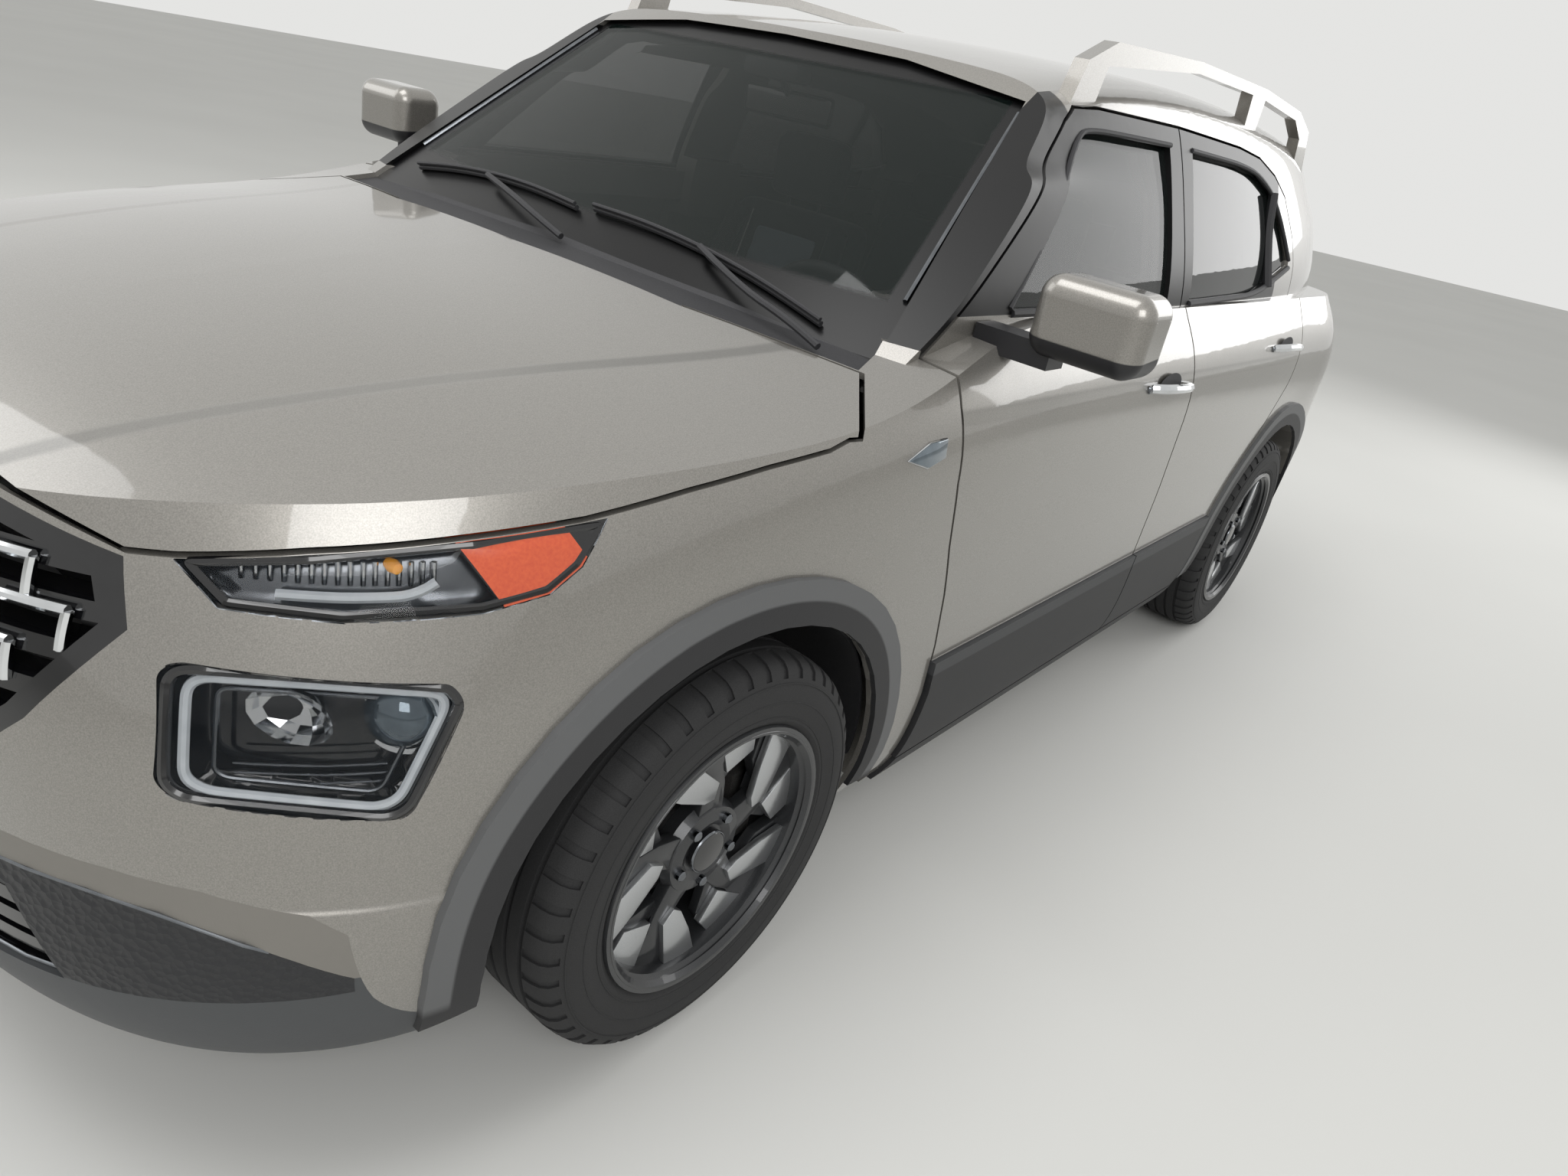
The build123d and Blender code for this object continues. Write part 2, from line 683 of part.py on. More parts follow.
liner_y = 466.0
with BuildPart() as front_housing:
    with BuildSketch(Plane.XZ.offset(-(liner_y - 6))):
        with Locations(front_arch):
            Circle(arch_radius + 6)
    extrude(amount=-400)
    with BuildSketch(Plane.XZ.offset(-liner_y)):
        with Locations(front_arch):
            Circle(arch_radius + 0.3)
    extrude(amount=-500, mode=Mode.SUBTRACT)
    add(under_bonnet, mode=Mode.INTERSECT)
    add(box_block((782, 0, 330), (1600, 900, 1000)), mode=Mode.INTERSECT)
    add(box_block((1444, 0, 540), (1600, 900, 1000)), mode=Mode.SUBTRACT)
with BuildPart() as bulkhead:
    add(wall_lower)
    add(box_block((760, -10, 232), (780, 900, 1000)), mode=Mode.INTERSECT)
    add(box_block((750, -100, 200), (790, 100, 348)), mode=Mode.SUBTRACT)
with BuildPart() as scuttle:
    add(under_bonnet)
    add(box_block((760, -10, 990), (905, 640, 1000)), mode=Mode.INTERSECT)
with BuildPart() as bulkhead_top:
    add(under_bonnet)
    add(box_block((760, -10, 930), (780, 640, 1000)), mode=Mode.INTERSECT)
with BuildPart() as carrier:
    add(box_block((1820, -10, 250), (1850, 520, 780)))
    add(pocket_upper, mode=Mode.INTERSECT)
with BuildPart() as rails:
    add(box_block((1845, 410, 450), (2100, 470, 506)))
    add(under_skin, mode=Mode.INTERSECT)
with BuildPart() as engine_bay:
    add(front_housing.part)
    add(bulkhead.part)
    add(scuttle.part)
    add(bulkhead_top.part)
    add(box_block((770, 410, 430), (1860, 462, 530)))
    add(carrier.part)
    add(rails.part)
    add(box_block((1250, 380 + seat_gap, 440), (1350, 420, 500)))
    split(bisect_by=Plane.XZ, keep=Keep.BOTTOM)
    mirror(about=Plane.XZ)

with BuildPart() as engine:
    with Locations((1360, 0, 565)):
        Box(460, 760, 530)

with BuildPart() as exhaust:
    with BuildSketch(Plane.YZ.offset(-1560)):
        with Locations((0, 225)):
            Circle(26)
    extrude(amount=2620)
    with Locations((-1700, 0, 290)):
        Box(280, 640, 150)
    with Locations((0, 0, 297), (-900, 0, 297)):
        Box(20, 20, 101.4)
    with Locations((-1700, 0, 430)):
        Box(20, 20, 139.4)

with BuildPart() as fuel_tank:
    with Locations((-640, 330, 208)):
        Box(460, 400, 47.4)

with BuildPart() as dashboard_half:
    with BuildSketch(Plane.XZ.offset(-10)):
        with BuildLine():
            Polyline((759, 985), (640, 990), (540, 970), (515, 925), (560, 870), (590, 760),
                     (650, 700), (700, 560), (759, 560), close=True)
        make_face()
    extrude(amount=-680)
    add(wall_lower, mode=Mode.INTERSECT)
    add(hinge_room, mode=Mode.SUBTRACT)
column_tilt = 25.0
steering_centre = (430.0, 365.0, 905.0)
column = Plane(origin=steering_centre,
               x_dir=(0, 1, 0),
               z_dir=(math.cos(math.radians(column_tilt)), 0, -math.sin(math.radians(column_tilt))))
with BuildPart() as dashboard:
    add(dashboard_half.part)
    mirror(about=Plane.XZ)
    with Locations((640, 0, 530)):
        Box(150, 220, 343.4)
    with Locations((330, 0, 440)):
        Box(640, 180, 163.4)
    with BuildSketch(column.offset(28 + seat_gap)):
        Circle(30)
    extrude(amount=160)

with BuildPart() as steering_wheel:
    with BuildSketch(Plane(origin=steering_centre, x_dir=column.z_dir, z_dir=(0, 1, 0))):
        with Locations((0, 182)):
            Circle(15)
    revolve(axis=Axis(steering_centre, tuple(column.z_dir)))
    with BuildSketch(column.offset(-12)):
        Circle(68)
        with PolarLocations(90, 3, start_angle=-90, angular_range=360):
            Rectangle(180, 34)
        Circle(180, mode=Mode.INTERSECT)
    extrude(amount=24)
    with BuildSketch(column.offset(-20)):
        Circle(66)
    extrude(amount=48)

# ---------------------------------------------------------------- seats
def seat_block(points, centre_y, width):
    with BuildPart() as block:
        with BuildSketch(Plane.XZ.offset(-(centre_y - width / 2))) as profile:
            with BuildLine():
                Polyline(*points, close=True)
            make_face()
            fillet(profile.vertices(), 22)
        extrude(amount=-width)
    return block.part


front_seat_y = 365.0
with BuildPart() as front_seat:
    add(box_block((-130, front_seat_y - 200, 250 + seat_gap), (230, front_seat_y + 200, 400)))
    add(seat_block([(-190, 370), (-200, 500), (330, 545), (345, 430), (200, 370)],
                   front_seat_y, 500))
    add(seat_block([(-90, 440), (-290, 1090), (-400, 1075), (-250, 420)], front_seat_y, 480))
    add(seat_block([(-290, 1050), (-285, 1270), (-375, 1275), (-385, 1050)], front_seat_y, 250))

with BuildPart() as rear_seat:
    for side in (-1, 1):
        add(box_block((-930, *sorted((114 * side, 560 * side))[:1], 250 + seat_gap),
                      (-560, *sorted((114 * side, 560 * side))[1:], 362)))
    add(box_block((-930, -560, 361), (-560, 560, 420)))
    add(seat_block([(-940, 380), (-945, 490), (-480, 520), (-480, 400), (-560, 380)], 0, 1230))
    add(seat_block([(-840, 440), (-1035, 1080), (-1135, 1075), (-990, 545), (-945, 525),
                    (-940, 440)],
                   0, 1160))
    for centre_y in (-370, 0, 370):
        add(seat_block([(-1035, 1040), (-1035, 1210), (-1115, 1215), (-1125, 1040)], centre_y, 240))

# ---------------------------------------------------------------- wheels and suspension
disc_in, disc_out = -42.0, -20.0


def wheel_piece(centre):
    """A rim with five spokes and its brake disc, turned about the axle line, outside towards +Y."""
    hub = Plane(origin=centre, x_dir=(1, 0, 0), z_dir=(0, 1, 0))
    with BuildPart() as wheel:
        with BuildSketch(Plane(origin=centre, x_dir=(0, 1, 0), z_dir=(1, 0, 0))):
            with BuildLine():
                Polyline((-100, 224), (-100, 216), (-92, 206), (-20, 196), (40, 198), (92, 206),
                         (100, 216), (100, 224), (95, 226), (90, 216), (-90, 216), (-95, 226),
                         close=True)
            make_face()
        revolve(axis=Axis(centre, (0, 1, 0)))
        with BuildSketch(hub.offset(disc_in)):
            Circle(142)
        extrude(amount=disc_out - disc_in)
        with BuildSketch(hub.offset(disc_out)):
            Circle(74)
        extrude(amount=95)
        with BuildSketch(hub.offset(48)):
            with PolarLocations(130, 5, start_angle=90):
                Rectangle(160, 56)
            Circle(204, mode=Mode.INTERSECT)
        extrude(amount=30)
        split(bisect_by=hub.offset(90), keep=Keep.BOTTOM)
    return wheel.part


def tyre_piece(centre):
    with BuildPart() as tyre:
        with BuildSketch(Plane(origin=centre, x_dir=(0, 1, 0), z_dir=(1, 0, 0))):
            with BuildLine():
                half = tyre_width / 2
                Polyline((-half + 16, rim_radius + seat_gap), (half - 16, rim_radius + seat_gap))
                Spline((half - 16, rim_radius + seat_gap), (half - 5, 238), (half, 270),
                       (half - 6, 303), (half - 24, 322), (half - 44, 327),
                       (half - 70, tyre_radius))
                Line((half - 70, tyre_radius), (70 - half, tyre_radius))
                Spline((70 - half, tyre_radius), (44 - half, 327), (24 - half, 322),
                       (6 - half, 303), (-half, 270), (5 - half, 238),
                       (16 - half, rim_radius + seat_gap))
            make_face()
        revolve(axis=Axis(centre, (0, 1, 0)))
        with BuildSketch(Plane(origin=centre, x_dir=(0, 1, 0), z_dir=(1, 0, 0))):
            with BuildLine():
                Polyline((-101, 200), (-101, 227), (-89, 227), (-89, rim_radius + seat_gap),
                         (89, rim_radius + seat_gap), (89, 227), (101, 227), (101, 200), close=True)
            make_face()
        revolve(axis=Axis(centre, (0, 1, 0)), mode=Mode.SUBTRACT)
    return tyre.part


king_y, ball_z = 700.0, 200.0
hub_back_y = wheel_y + disc_in - seat_gap
with BuildPart() as knuckle_left:
    add(box_block((front_axle_x - 24, 676, ball_z + seat_gap), (front_axle_x + 24, 722, 480)))
    add(box_block((front_axle_x - 24, 640, 420), (front_axle_x + 24, 700, 480)))
    # The caliper straddles the disc behind the axle line.
    add(box_block((front_axle_x - 162, 700, hub_z - 70), (front_axle_x - 92, 795, hub_z + 70)))
    add(box_block((front_axle_x - 160, 700, hub_z - 25), (front_axle_x, 722, hub_z + 25)))
    with BuildSketch(Plane.XZ.offset(-722)):
        with Locations((front_axle_x, hub_z)):
            Circle(147)
    extrude(amount=-34, mode=Mode.SUBTRACT)
    with BuildSketch(Plane.XZ.offset(-755)):
        with Locations((front_axle_x, hub_z)):
            Circle(80)
    extrude(amount=-60, mode=Mode.SUBTRACT)
    with BuildSketch(Plane.XZ.offset(-640)):
        with Locations((front_axle_x, hub_z)):
            Circle(58)
    extrude(amount=-(hub_back_y - 640))

with BuildPart() as suspension_left:
    add(box_block((1110, 386, 205), (1170, 440, 430 - seat_gap)))
    add(box_block((1090, -10, 200), (1270, 380, 262)))
    add(box_block((front_axle_x - 30, 370, ball_z - 28), (front_axle_x + 30, 708, ball_z)))
    add(box_block((960, 380, 205), (1010, 440, 250)))
    add(box_block((960, 340, 205), (1130, 400, 250)))
    split(bisect_by=Plane.XZ, keep=Keep.BOTTOM)
strut_top_z = hub_z + math.sqrt(arch_radius ** 2 - 56 ** 2) - seat_gap
with BuildPart() as strut_left:
    with BuildSketch(Plane.XY.offset(430)):
        with Locations((front_axle_x, 562)):
            Circle(26)
    extrude(amount=strut_top_z - 430)
    with BuildSketch(Plane.XY.offset(530)):
        with Locations((front_axle_x, 562)):
            Circle(56)
    extrude(amount=strut_top_z - 530)

with BuildPart() as rear_axle_left:
    add(box_block((-1185, -10, 268), (-1095, 585, 332)))
    with BuildSketch(Plane.XZ.offset(-520)):
        with BuildLine():
            Polyline((-990, 300), (-990, 350), (-1050, 360), (-1300, 372), (-1395, 350),
                     (-1395, 300), (-1300, 285), (-1050, 290), close=True)
        make_face()
    extrude(amount=-64)
    with BuildSketch(Plane.XZ.offset(-560)):
        with Locations((rear_axle_x, hub_z)):
            Circle(50)
    extrude(amount=-(hub_back_y - 560))
    with BuildSketch(Plane.XY.offset(350)):
        with Locations((-1240, 545)):
            Circle(46)
        with Locations((-1375, 552)):
            Circle(24)
    extrude(amount=500 - seat_gap - 350)
    add(box_block((-1030, 520, 310), (-990, 584, 500 - seat_gap)))
    split(bisect_by=Plane.XZ, keep=Keep.BOTTOM)
    mirror(about=Plane.XZ)

# ---------------------------------------------------------------- mirrors
with BuildPart() as mirror_left:
    with Locations((585, 950, 1130)):
        Box(120, 190, 130)
    fillet(mirror_left.edges(), 34)
    add(box_block((560, 760, 1045), (620, 900, 1085)))
    add(outer, mode=Mode.SUBTRACT)

# ---------------------------------------------------------------- write the files
os.makedirs("parts", exist_ok=True)


def write(name, piece):
    piece.label = name
    export_step(piece, f"parts/{name}.step")


def write_pair(name, half):
    """A piece on each side, in one file."""
    with BuildPart() as pair:
        add(half)
        split(bisect_by=Plane.XZ, keep=Keep.BOTTOM)
        mirror(about=Plane.XZ)
    write(name, pair.part)


def write_left_right(name, half):
    """A piece on each side, in a file of its own each."""
    with BuildPart() as right:
        add(half, mode=Mode.PRIVATE)
        mirror(half, about=Plane.XZ)
    write(f"{name}_left", half)
    write(f"{name}_right", right.part)


for name, half in {
    "body_sides": body_side_left, "front_fenders": fender_left.part,
    "roof": roof_left.part, "windscreen": windscreen_left, "bonnet": bonnet_left.part,
    "cowl_panel": cowl_left.part, "front_bumper": front_bumper_left.part,
    "front_valance": front_valance_left.part,
    "grille": grille_bars.part, "rear_bumper": rear_bumper_left.part,
    "headlamps": headlamp_left, "upper_lamps": upper_lamp_left.part,
    "tail_lamps": tail_lamp_left.part, "arch_trims": trims_left.part, "roof_rails": rail_left.part,
    "tailgate": tailgate_left.part, "tailgate_glass": tail_glass_left,
    "front_seats": front_seat.part, "front_suspension": suspension_left.part,
    "front_struts": strut_left.part,
}.items():
    write_pair(name, half)
for name, half in {
    "door_front": door_front, "door_rear": door_rear, "glass_front": glass_front,
    "glass_rear": glass_rear, "mirror": mirror_left.part, "knuckle": knuckle_left.part,
    "wheel_front": wheel_piece((front_axle_x, wheel_y, hub_z)),
    "wheel_rear": wheel_piece((rear_axle_x, wheel_y, hub_z)),
    "tyre_front": tyre_piece((front_axle_x, wheel_y, hub_z)),
    "tyre_rear": tyre_piece((rear_axle_x, wheel_y, hub_z)),
}.items():
    write_left_right(name, half)
for name, piece in {
    "floor_pan": floor_pan.part, "engine_bay": engine_bay.part, "engine": engine.part,
    "exhaust": exhaust.part, "fuel_tank": fuel_tank.part, "dashboard": dashboard.part,
    "steering_wheel": steering_wheel.part, "rear_seat": rear_seat.part,
    "rear_axle": rear_axle_left.part,
}.items():
    write(name, piece)
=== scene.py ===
import math

import bpy
from mathutils import Matrix, Vector
from mathutils.bvhtree import BVHTree


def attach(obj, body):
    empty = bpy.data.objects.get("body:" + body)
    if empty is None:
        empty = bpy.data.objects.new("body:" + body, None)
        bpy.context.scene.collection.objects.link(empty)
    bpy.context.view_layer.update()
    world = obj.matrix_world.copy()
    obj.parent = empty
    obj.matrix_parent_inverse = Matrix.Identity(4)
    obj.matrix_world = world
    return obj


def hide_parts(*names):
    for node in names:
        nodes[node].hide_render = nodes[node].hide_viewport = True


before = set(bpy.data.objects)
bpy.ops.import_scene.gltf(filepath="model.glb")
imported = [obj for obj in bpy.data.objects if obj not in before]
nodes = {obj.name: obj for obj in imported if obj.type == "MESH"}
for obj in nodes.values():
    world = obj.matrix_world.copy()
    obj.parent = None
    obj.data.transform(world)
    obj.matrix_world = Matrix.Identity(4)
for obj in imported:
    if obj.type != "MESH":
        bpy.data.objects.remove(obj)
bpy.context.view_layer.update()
bpy.ops.object.select_all(action="DESELECT")
print("frame loaded:", len(nodes), "nodes")

# wheel centres, taken from the CAD
frontAxleX, rearAxleX, hubZ, wheelY = 1.18, -1.34, 0.328, 0.77


def linear(hexColour):
    # an sRGB hex colour as the linear colour that nodes take
    values = [int(hexColour[i:i + 2], 16) / 255 for i in (1, 3, 5)]
    return tuple(v / 12.92 if v <= 0.04045 else ((v + 0.055) / 1.055) ** 2.4 for v in values) + (1,)


def addNode(tree, kind, settings=(), links=()):
    node = tree.nodes.new(kind)
    for key, value in dict(settings).items():
        if isinstance(key, str) and hasattr(node, key):
            setattr(node, key, value)
        else:
            node.inputs[key].default_value = value
    for key, socket in dict(links).items():
        tree.links.new(socket, node.inputs[key])
    return node


def newFinish(name, colour, roughness, **sockets):
    material = bpy.data.materials.new(name)
    material.use_nodes = True
    tree = material.node_tree
    shader = tree.nodes["Principled BSDF"]
    shader.inputs["Base Color"].default_value = linear(colour)
    shader.inputs["Roughness"].default_value = roughness
    for key, value in sockets.items():
        shader.inputs[key.replace("_", " ")].default_value = value
    return material, tree, shader


def setRamp(ramp, low, high):
    first, last = ramp.color_ramp.elements
    first.color, last.color = linear(low), linear(high)


def grain(tree, shader, size, depth, low, high, detail=3.0):
    # an uneven surface whose grains are `size` metres wide, in a colour between low and high
    place = addNode(tree, "ShaderNodeTexCoord")
    noise = addNode(tree, "ShaderNodeTexNoise", {"Scale": 1 / size, "Detail": detail},
                    {"Vector": place.outputs["Object"]})
    ramp = addNode(tree, "ShaderNodeValToRGB", links={"Fac": noise.outputs["Fac"]})
    ramp.color_ramp.elements[0].position, ramp.color_ramp.elements[1].position = 0.3, 0.7
    setRamp(ramp, low, high)
    tree.links.new(ramp.outputs["Color"], shader.inputs["Base Color"])
    bump = addNode(tree, "ShaderNodeBump", {"Strength": 0.6, "Distance": depth},
                   {"Height": noise.outputs["Fac"]})
    tree.links.new(bump.outputs["Normal"], shader.inputs["Normal"])
    return place, bump


def plainFinish(name, colour, roughness, size, depth, low, high, **sockets):
    material, tree, shader = newFinish(name, colour, roughness, **sockets)
    grain(tree, shader, size, depth, low, high)
    return material


def splitAxes(tree, place):
    # the place on X, the distance from the car's middle line, and the height
    axes = addNode(tree, "ShaderNodeSeparateXYZ", links={"Vector": place.outputs["Object"]})
    side = addNode(tree, "ShaderNodeMath", {"operation": "ABSOLUTE"}, {0: axes.outputs["Y"]})
    return {"X": axes.outputs["X"], "Y": side.outputs[0], "Z": axes.outputs["Z"]}


def roughenAbs(tree, shader, place, strength, under=None):
    # the moulded grain of ABS, over whatever relief the panel has
    noise = addNode(tree, "ShaderNodeTexNoise", {"Scale": 1 / plasticLook["grain"], "Detail": 3.0},
                    {"Vector": place.outputs["Object"]})
    bump = addNode(tree, "ShaderNodeBump",
                   {"Strength": strength, "Distance": plasticLook["depth"]},
                   {"Height": noise.outputs["Fac"]})
    if under:
        tree.links.new(under.outputs["Normal"], bump.inputs["Normal"])
    tree.links.new(bump.outputs["Normal"], shader.inputs["Normal"])


def layOver(tree, mask, under, over):
    # shows the second finish where the mask is 1
    both = addNode(tree, "ShaderNodeMixShader", links={
        0: mask.outputs[0], 1: under.outputs[0], 2: over.outputs[0]})
    tree.links.new(both.outputs[0], tree.nodes["Material Output"].inputs["Surface"])
    return both


# warm silver car paint: fine aluminium flake under clear lacquer, so a soft glow and a sharp gloss
paintLook = {"base": "#8A8782", "low": "#7F7C77", "high": "#93908A", "flake": 0.0016,
             "metal": 0.62, "roughness": 0.34}


def silverPaint(name):
    look = paintLook
    material, tree, shader = newFinish(name, look["base"], look["roughness"],
                                       Metallic=look["metal"], Coat_Weight=1.0,
                                       Coat_Roughness=0.04)
    place, bump = grain(tree, shader, look["flake"], 0.00002, look["low"], look["high"], 1.0)
    return material, tree, shader, place, bump


bodyPaint = silverPaint("silverFlakePaint")[0]


def crease(tree, place, bump, lines, height):
    # folds pressed into a painted panel: each line is (axis across, centre, slope, along, width)
    parts = splitAxes(tree, place)
    total = None
    for across, centre, slope, along, width in lines:
        lean = addNode(tree, "ShaderNodeMath", {"operation": "MULTIPLY_ADD", 1: slope, 2: centre},
                       {0: parts[along]})
        away = addNode(tree, "ShaderNodeMath", {"operation": "SUBTRACT"},
                       {0: parts[across], 1: lean.outputs[0]})
        step = addNode(tree, "ShaderNodeMapRange",
                       {"interpolation_type": "SMOOTHERSTEP", "From Min": -width,
                        "From Max": width}, {"Value": away.outputs[0]})
        if total is None:
            total = step.outputs[0]
        else:
            total = addNode(tree, "ShaderNodeMath", {"operation": "ADD"},
                            {0: total, 1: step.outputs[0]}).outputs[0]
    fold = addNode(tree, "ShaderNodeBump", {"Strength": 1.0, "Distance": height},
                   {"Height": total, "Normal": bump.outputs["Normal"]})
    return fold


def creasedPaint(name, lines, height):
    material, tree, shader, place, bump = silverPaint(name)
    fold = crease(tree, place, bump, lines, height)
    tree.links.new(fold.outputs["Normal"], shader.inputs["Normal"])
    return material


# the bonnet's two long folds run back from the grille's corners
bonnetPaint = creasedPaint("silverFlakePaintBonnet", [("Y", 0.80, -0.225, "X", 0.022)], 0.008)
bumperPaint = creasedPaint("silverFlakePaintBumper", [("Z", 0.535, -0.09, "Y", 0.010)], -0.006)

# grained ABS: dull moulded skin with a fine leather-like grain
plasticLook = {"low": "#232325", "high": "#2E2E31", "grain": 0.0022, "depth": 0.00025}


def grainedAbs(name, low, high, roughness=0.62):
    material, tree, shader = newFinish(name, low, roughness)
    grain(tree, shader, plasticLook["grain"], plasticLook["depth"], low, high)
    return material


darkAbs = grainedAbs("grainedBlackAbs", plasticLook["low"], plasticLook["high"])
cabinAbs = grainedAbs("softCabinAbs", "#17171A", "#222226", 0.7)

# arch cladding: black ABS with painted light and shade: the rim of the arch, which faces down, is
# painted dark as shade, the band outside it is painted mid-grey as the light it catches, and below
# the foot height it is all painted shade
claddingLightAndShadeLook = {"inner": "#1F1F21", "outer": "#5A5B5C", "edge": 0.425, "blend": 0.002,
                "foot": (0.27, 0.29)}


def claddingAbs():
    look = claddingLightAndShadeLook
    material, tree, shader = newFinish("claddingAbsPaintedLightAndShade", "#3A3A3C", 0.58)
    place = addNode(tree, "ShaderNodeTexCoord")
    axes = splitAxes(tree, place)
    reach = []
    for axle in (frontAxleX, rearAxleX):
        dx = addNode(tree, "ShaderNodeMath", {"operation": "SUBTRACT", 1: axle}, {0: axes["X"]})
        dz = addNode(tree, "ShaderNodeMath", {"operation": "SUBTRACT", 1: hubZ}, {0: axes["Z"]})
        both = addNode(tree, "ShaderNodeCombineXYZ", links={"X": dx.outputs[0], "Y": dz.outputs[0]})
        away = addNode(tree, "ShaderNodeVectorMath", {"operation": "LENGTH"},
                       {0: both.outputs[0]})
        reach.append(away.outputs["Value"])
    near = addNode(tree, "ShaderNodeMath", {"operation": "MINIMUM"}, {0: reach[0], 1: reach[1]})
    band = addNode(tree, "ShaderNodeMapRange", {"From Min": look["edge"] - look["blend"],
                                                "From Max": look["edge"] + look["blend"]},
                   {"Value": near.outputs[0]})
    height = addNode(tree, "ShaderNodeMapRange",
                     {"From Min": look["foot"][0], "From Max": look["foot"][1]},
                     {"Value": axes["Z"]})
    paintedLitShare = addNode(tree, "ShaderNodeMath", {"operation": "MULTIPLY"},
                    {0: band.outputs[0], 1: height.outputs[0]})
    # inner is the painted shade on the rim, outer the painted light on the band
    mix = addNode(tree, "ShaderNodeMix", {"data_type": "RGBA", 6: linear(look["inner"]),
                                          7: linear(look["outer"])}, {"Factor": paintedLitShare.outputs[0]})
    tree.links.new(mix.outputs[2], shader.inputs["Base Color"])
    roughenAbs(tree, shader, place, 0.6)
    return material


archAbs = claddingAbs()

# lower nose: grey ABS with a dark pitted insert across it, painted above the insert
valanceLook = {"top": 0.478, "fall": 0.11, "foot": 0.300, "rise": 0.060, "bend": 0.5,
               "end": 0.768, "grey": "#3F4143", "dark": "#1B1C1F", "pits": 95.0}


def valanceAbs():
    look = valanceLook
    material, tree, shader = newFinish("greyAbsWithDarkInsert", look["grey"], 0.5)
    place = addNode(tree, "ShaderNodeTexCoord")
    axes = splitAxes(tree, place)
    out = addNode(tree, "ShaderNodeMapRange", {"From Min": look["bend"], "From Max": look["end"]},
                  {"Value": axes["Y"]})
    bend = addNode(tree, "ShaderNodeMath", {"operation": "POWER", 1: 3.0}, {0: out.outputs[0]})
    top = addNode(tree, "ShaderNodeMath",
                  {"operation": "MULTIPLY_ADD", 1: -look["fall"], 2: look["top"]},
                  {0: bend.outputs[0]})
    foot = addNode(tree, "ShaderNodeMath",
                   {"operation": "MULTIPLY_ADD", 1: look["rise"], 2: look["foot"]},
                   {0: axes["Y"]})
    under = addNode(tree, "ShaderNodeMath", {"operation": "LESS_THAN"},
                    {0: axes["Z"], 1: top.outputs[0]})
    over = addNode(tree, "ShaderNodeMath", {"operation": "GREATER_THAN"},
                   {0: axes["Z"], 1: foot.outputs[0]})
    near = addNode(tree, "ShaderNodeMath", {"operation": "LESS_THAN", 1: look["end"]},
                   {0: axes["Y"]})
    both = addNode(tree, "ShaderNodeMath", {"operation": "MULTIPLY"},
                   {0: under.outputs[0], 1: over.outputs[0]})
    mask = addNode(tree, "ShaderNodeMath", {"operation": "MULTIPLY"},
                   {0: both.outputs[0], 1: near.outputs[0]})
    tone = addNode(tree, "ShaderNodeMix", {"data_type": "RGBA", 6: linear(look["grey"]),
                                           7: linear(look["dark"])}, {"Factor": mask.outputs[0]})
    # above the insert the nose is painted as the bumper is
    paint = addNode(tree, "ShaderNodeMix", {"data_type": "RGBA", 6: linear(paintLook["base"])},
                    {"Factor": under.outputs[0], 7: tone.outputs[2]})
    tree.links.new(paint.outputs[2], shader.inputs["Base Color"])
    metal = addNode(tree, "ShaderNodeMath", {"operation": "MULTIPLY_ADD", 1: -0.85, 2: 0.85},
                    {0: under.outputs[0]})
    tree.links.new(metal.outputs[0], shader.inputs["Metallic"])
    cells = addNode(tree, "ShaderNodeTexVoronoi", {"Scale": look["pits"]},
                    {"Vector": place.outputs["Object"]})
    pits = addNode(tree, "ShaderNodeMath", {"operation": "MULTIPLY"},
                   {0: cells.outputs["Distance"], 1: mask.outputs[0]})
    deep = addNode(tree, "ShaderNodeBump", {"Strength": 0.9, "Distance": 0.004},
                   {"Height": pits.outputs[0]})
    roughenAbs(tree, shader, place, 0.5, deep)
    return material


noseAbs = valanceAbs()

# doors: silver above, black cladding with a lighter top band below
doorLook = {"bandTop": 0.495, "bandFoot": 0.462, "band": "#38393B", "foot": "#1F1F21",
            "frame": "#0C0C0D", "frameFoot": 1.092, "frameEnd": -1.08}


def doorPaint():
    look = doorLook
    material, tree, shader, place, bump = silverPaint("silverDoorWithCladding")
    fold = crease(tree, place, bump, [("Z", 0.955, 0.012, "X", 0.016)], 0.006)
    axes = splitAxes(tree, place)
    step = addNode(tree, "ShaderNodeMapRange",
                   {"From Min": look["bandTop"] - 0.004, "From Max": look["bandTop"]},
                   {"Value": axes["Z"]})
    groove = addNode(tree, "ShaderNodeBump", {"Strength": 1.0, "Distance": 0.004, "invert": True},
                     {"Height": step.outputs[0], "Normal": fold.outputs["Normal"]})
    tree.links.new(groove.outputs["Normal"], shader.inputs["Normal"])
    plastic = addNode(tree, "ShaderNodeBsdfPrincipled", {"Roughness": 0.58})
    band = addNode(tree, "ShaderNodeMapRange",
                   {"From Min": look["bandFoot"] - 0.001, "From Max": look["bandFoot"] + 0.001},
                   {"Value": axes["Z"]})
    tone = addNode(tree, "ShaderNodeMix", {"data_type": "RGBA", 6: linear(look["foot"]),
                                           7: linear(look["band"])}, {"Factor": band.outputs[0]})
    tree.links.new(tone.outputs[2], plastic.inputs["Base Color"])
    roughenAbs(tree, plastic, place, 0.6)
    both = layOver(tree, step, plastic, shader)
    # the window frames are satin black down to the belt, ahead of the rear quarter
    high = addNode(tree, "ShaderNodeMath", {"operation": "GREATER_THAN", 1: look["frameFoot"]},
                   {0: axes["Z"]})
    ahead = addNode(tree, "ShaderNodeMath", {"operation": "GREATER_THAN", 1: look["frameEnd"]},
                    {0: axes["X"]})
    corner = addNode(tree, "ShaderNodeMath", {"operation": "MULTIPLY"},
                     {0: high.outputs[0], 1: ahead.outputs[0]})
    satin = addNode(tree, "ShaderNodeBsdfPrincipled", {
        "Base Color": linear(look["frame"]), "Roughness": 0.35, "Specular IOR Level": 0.35})
    layOver(tree, corner, both, satin)
    return material


doorFinish = doorPaint()


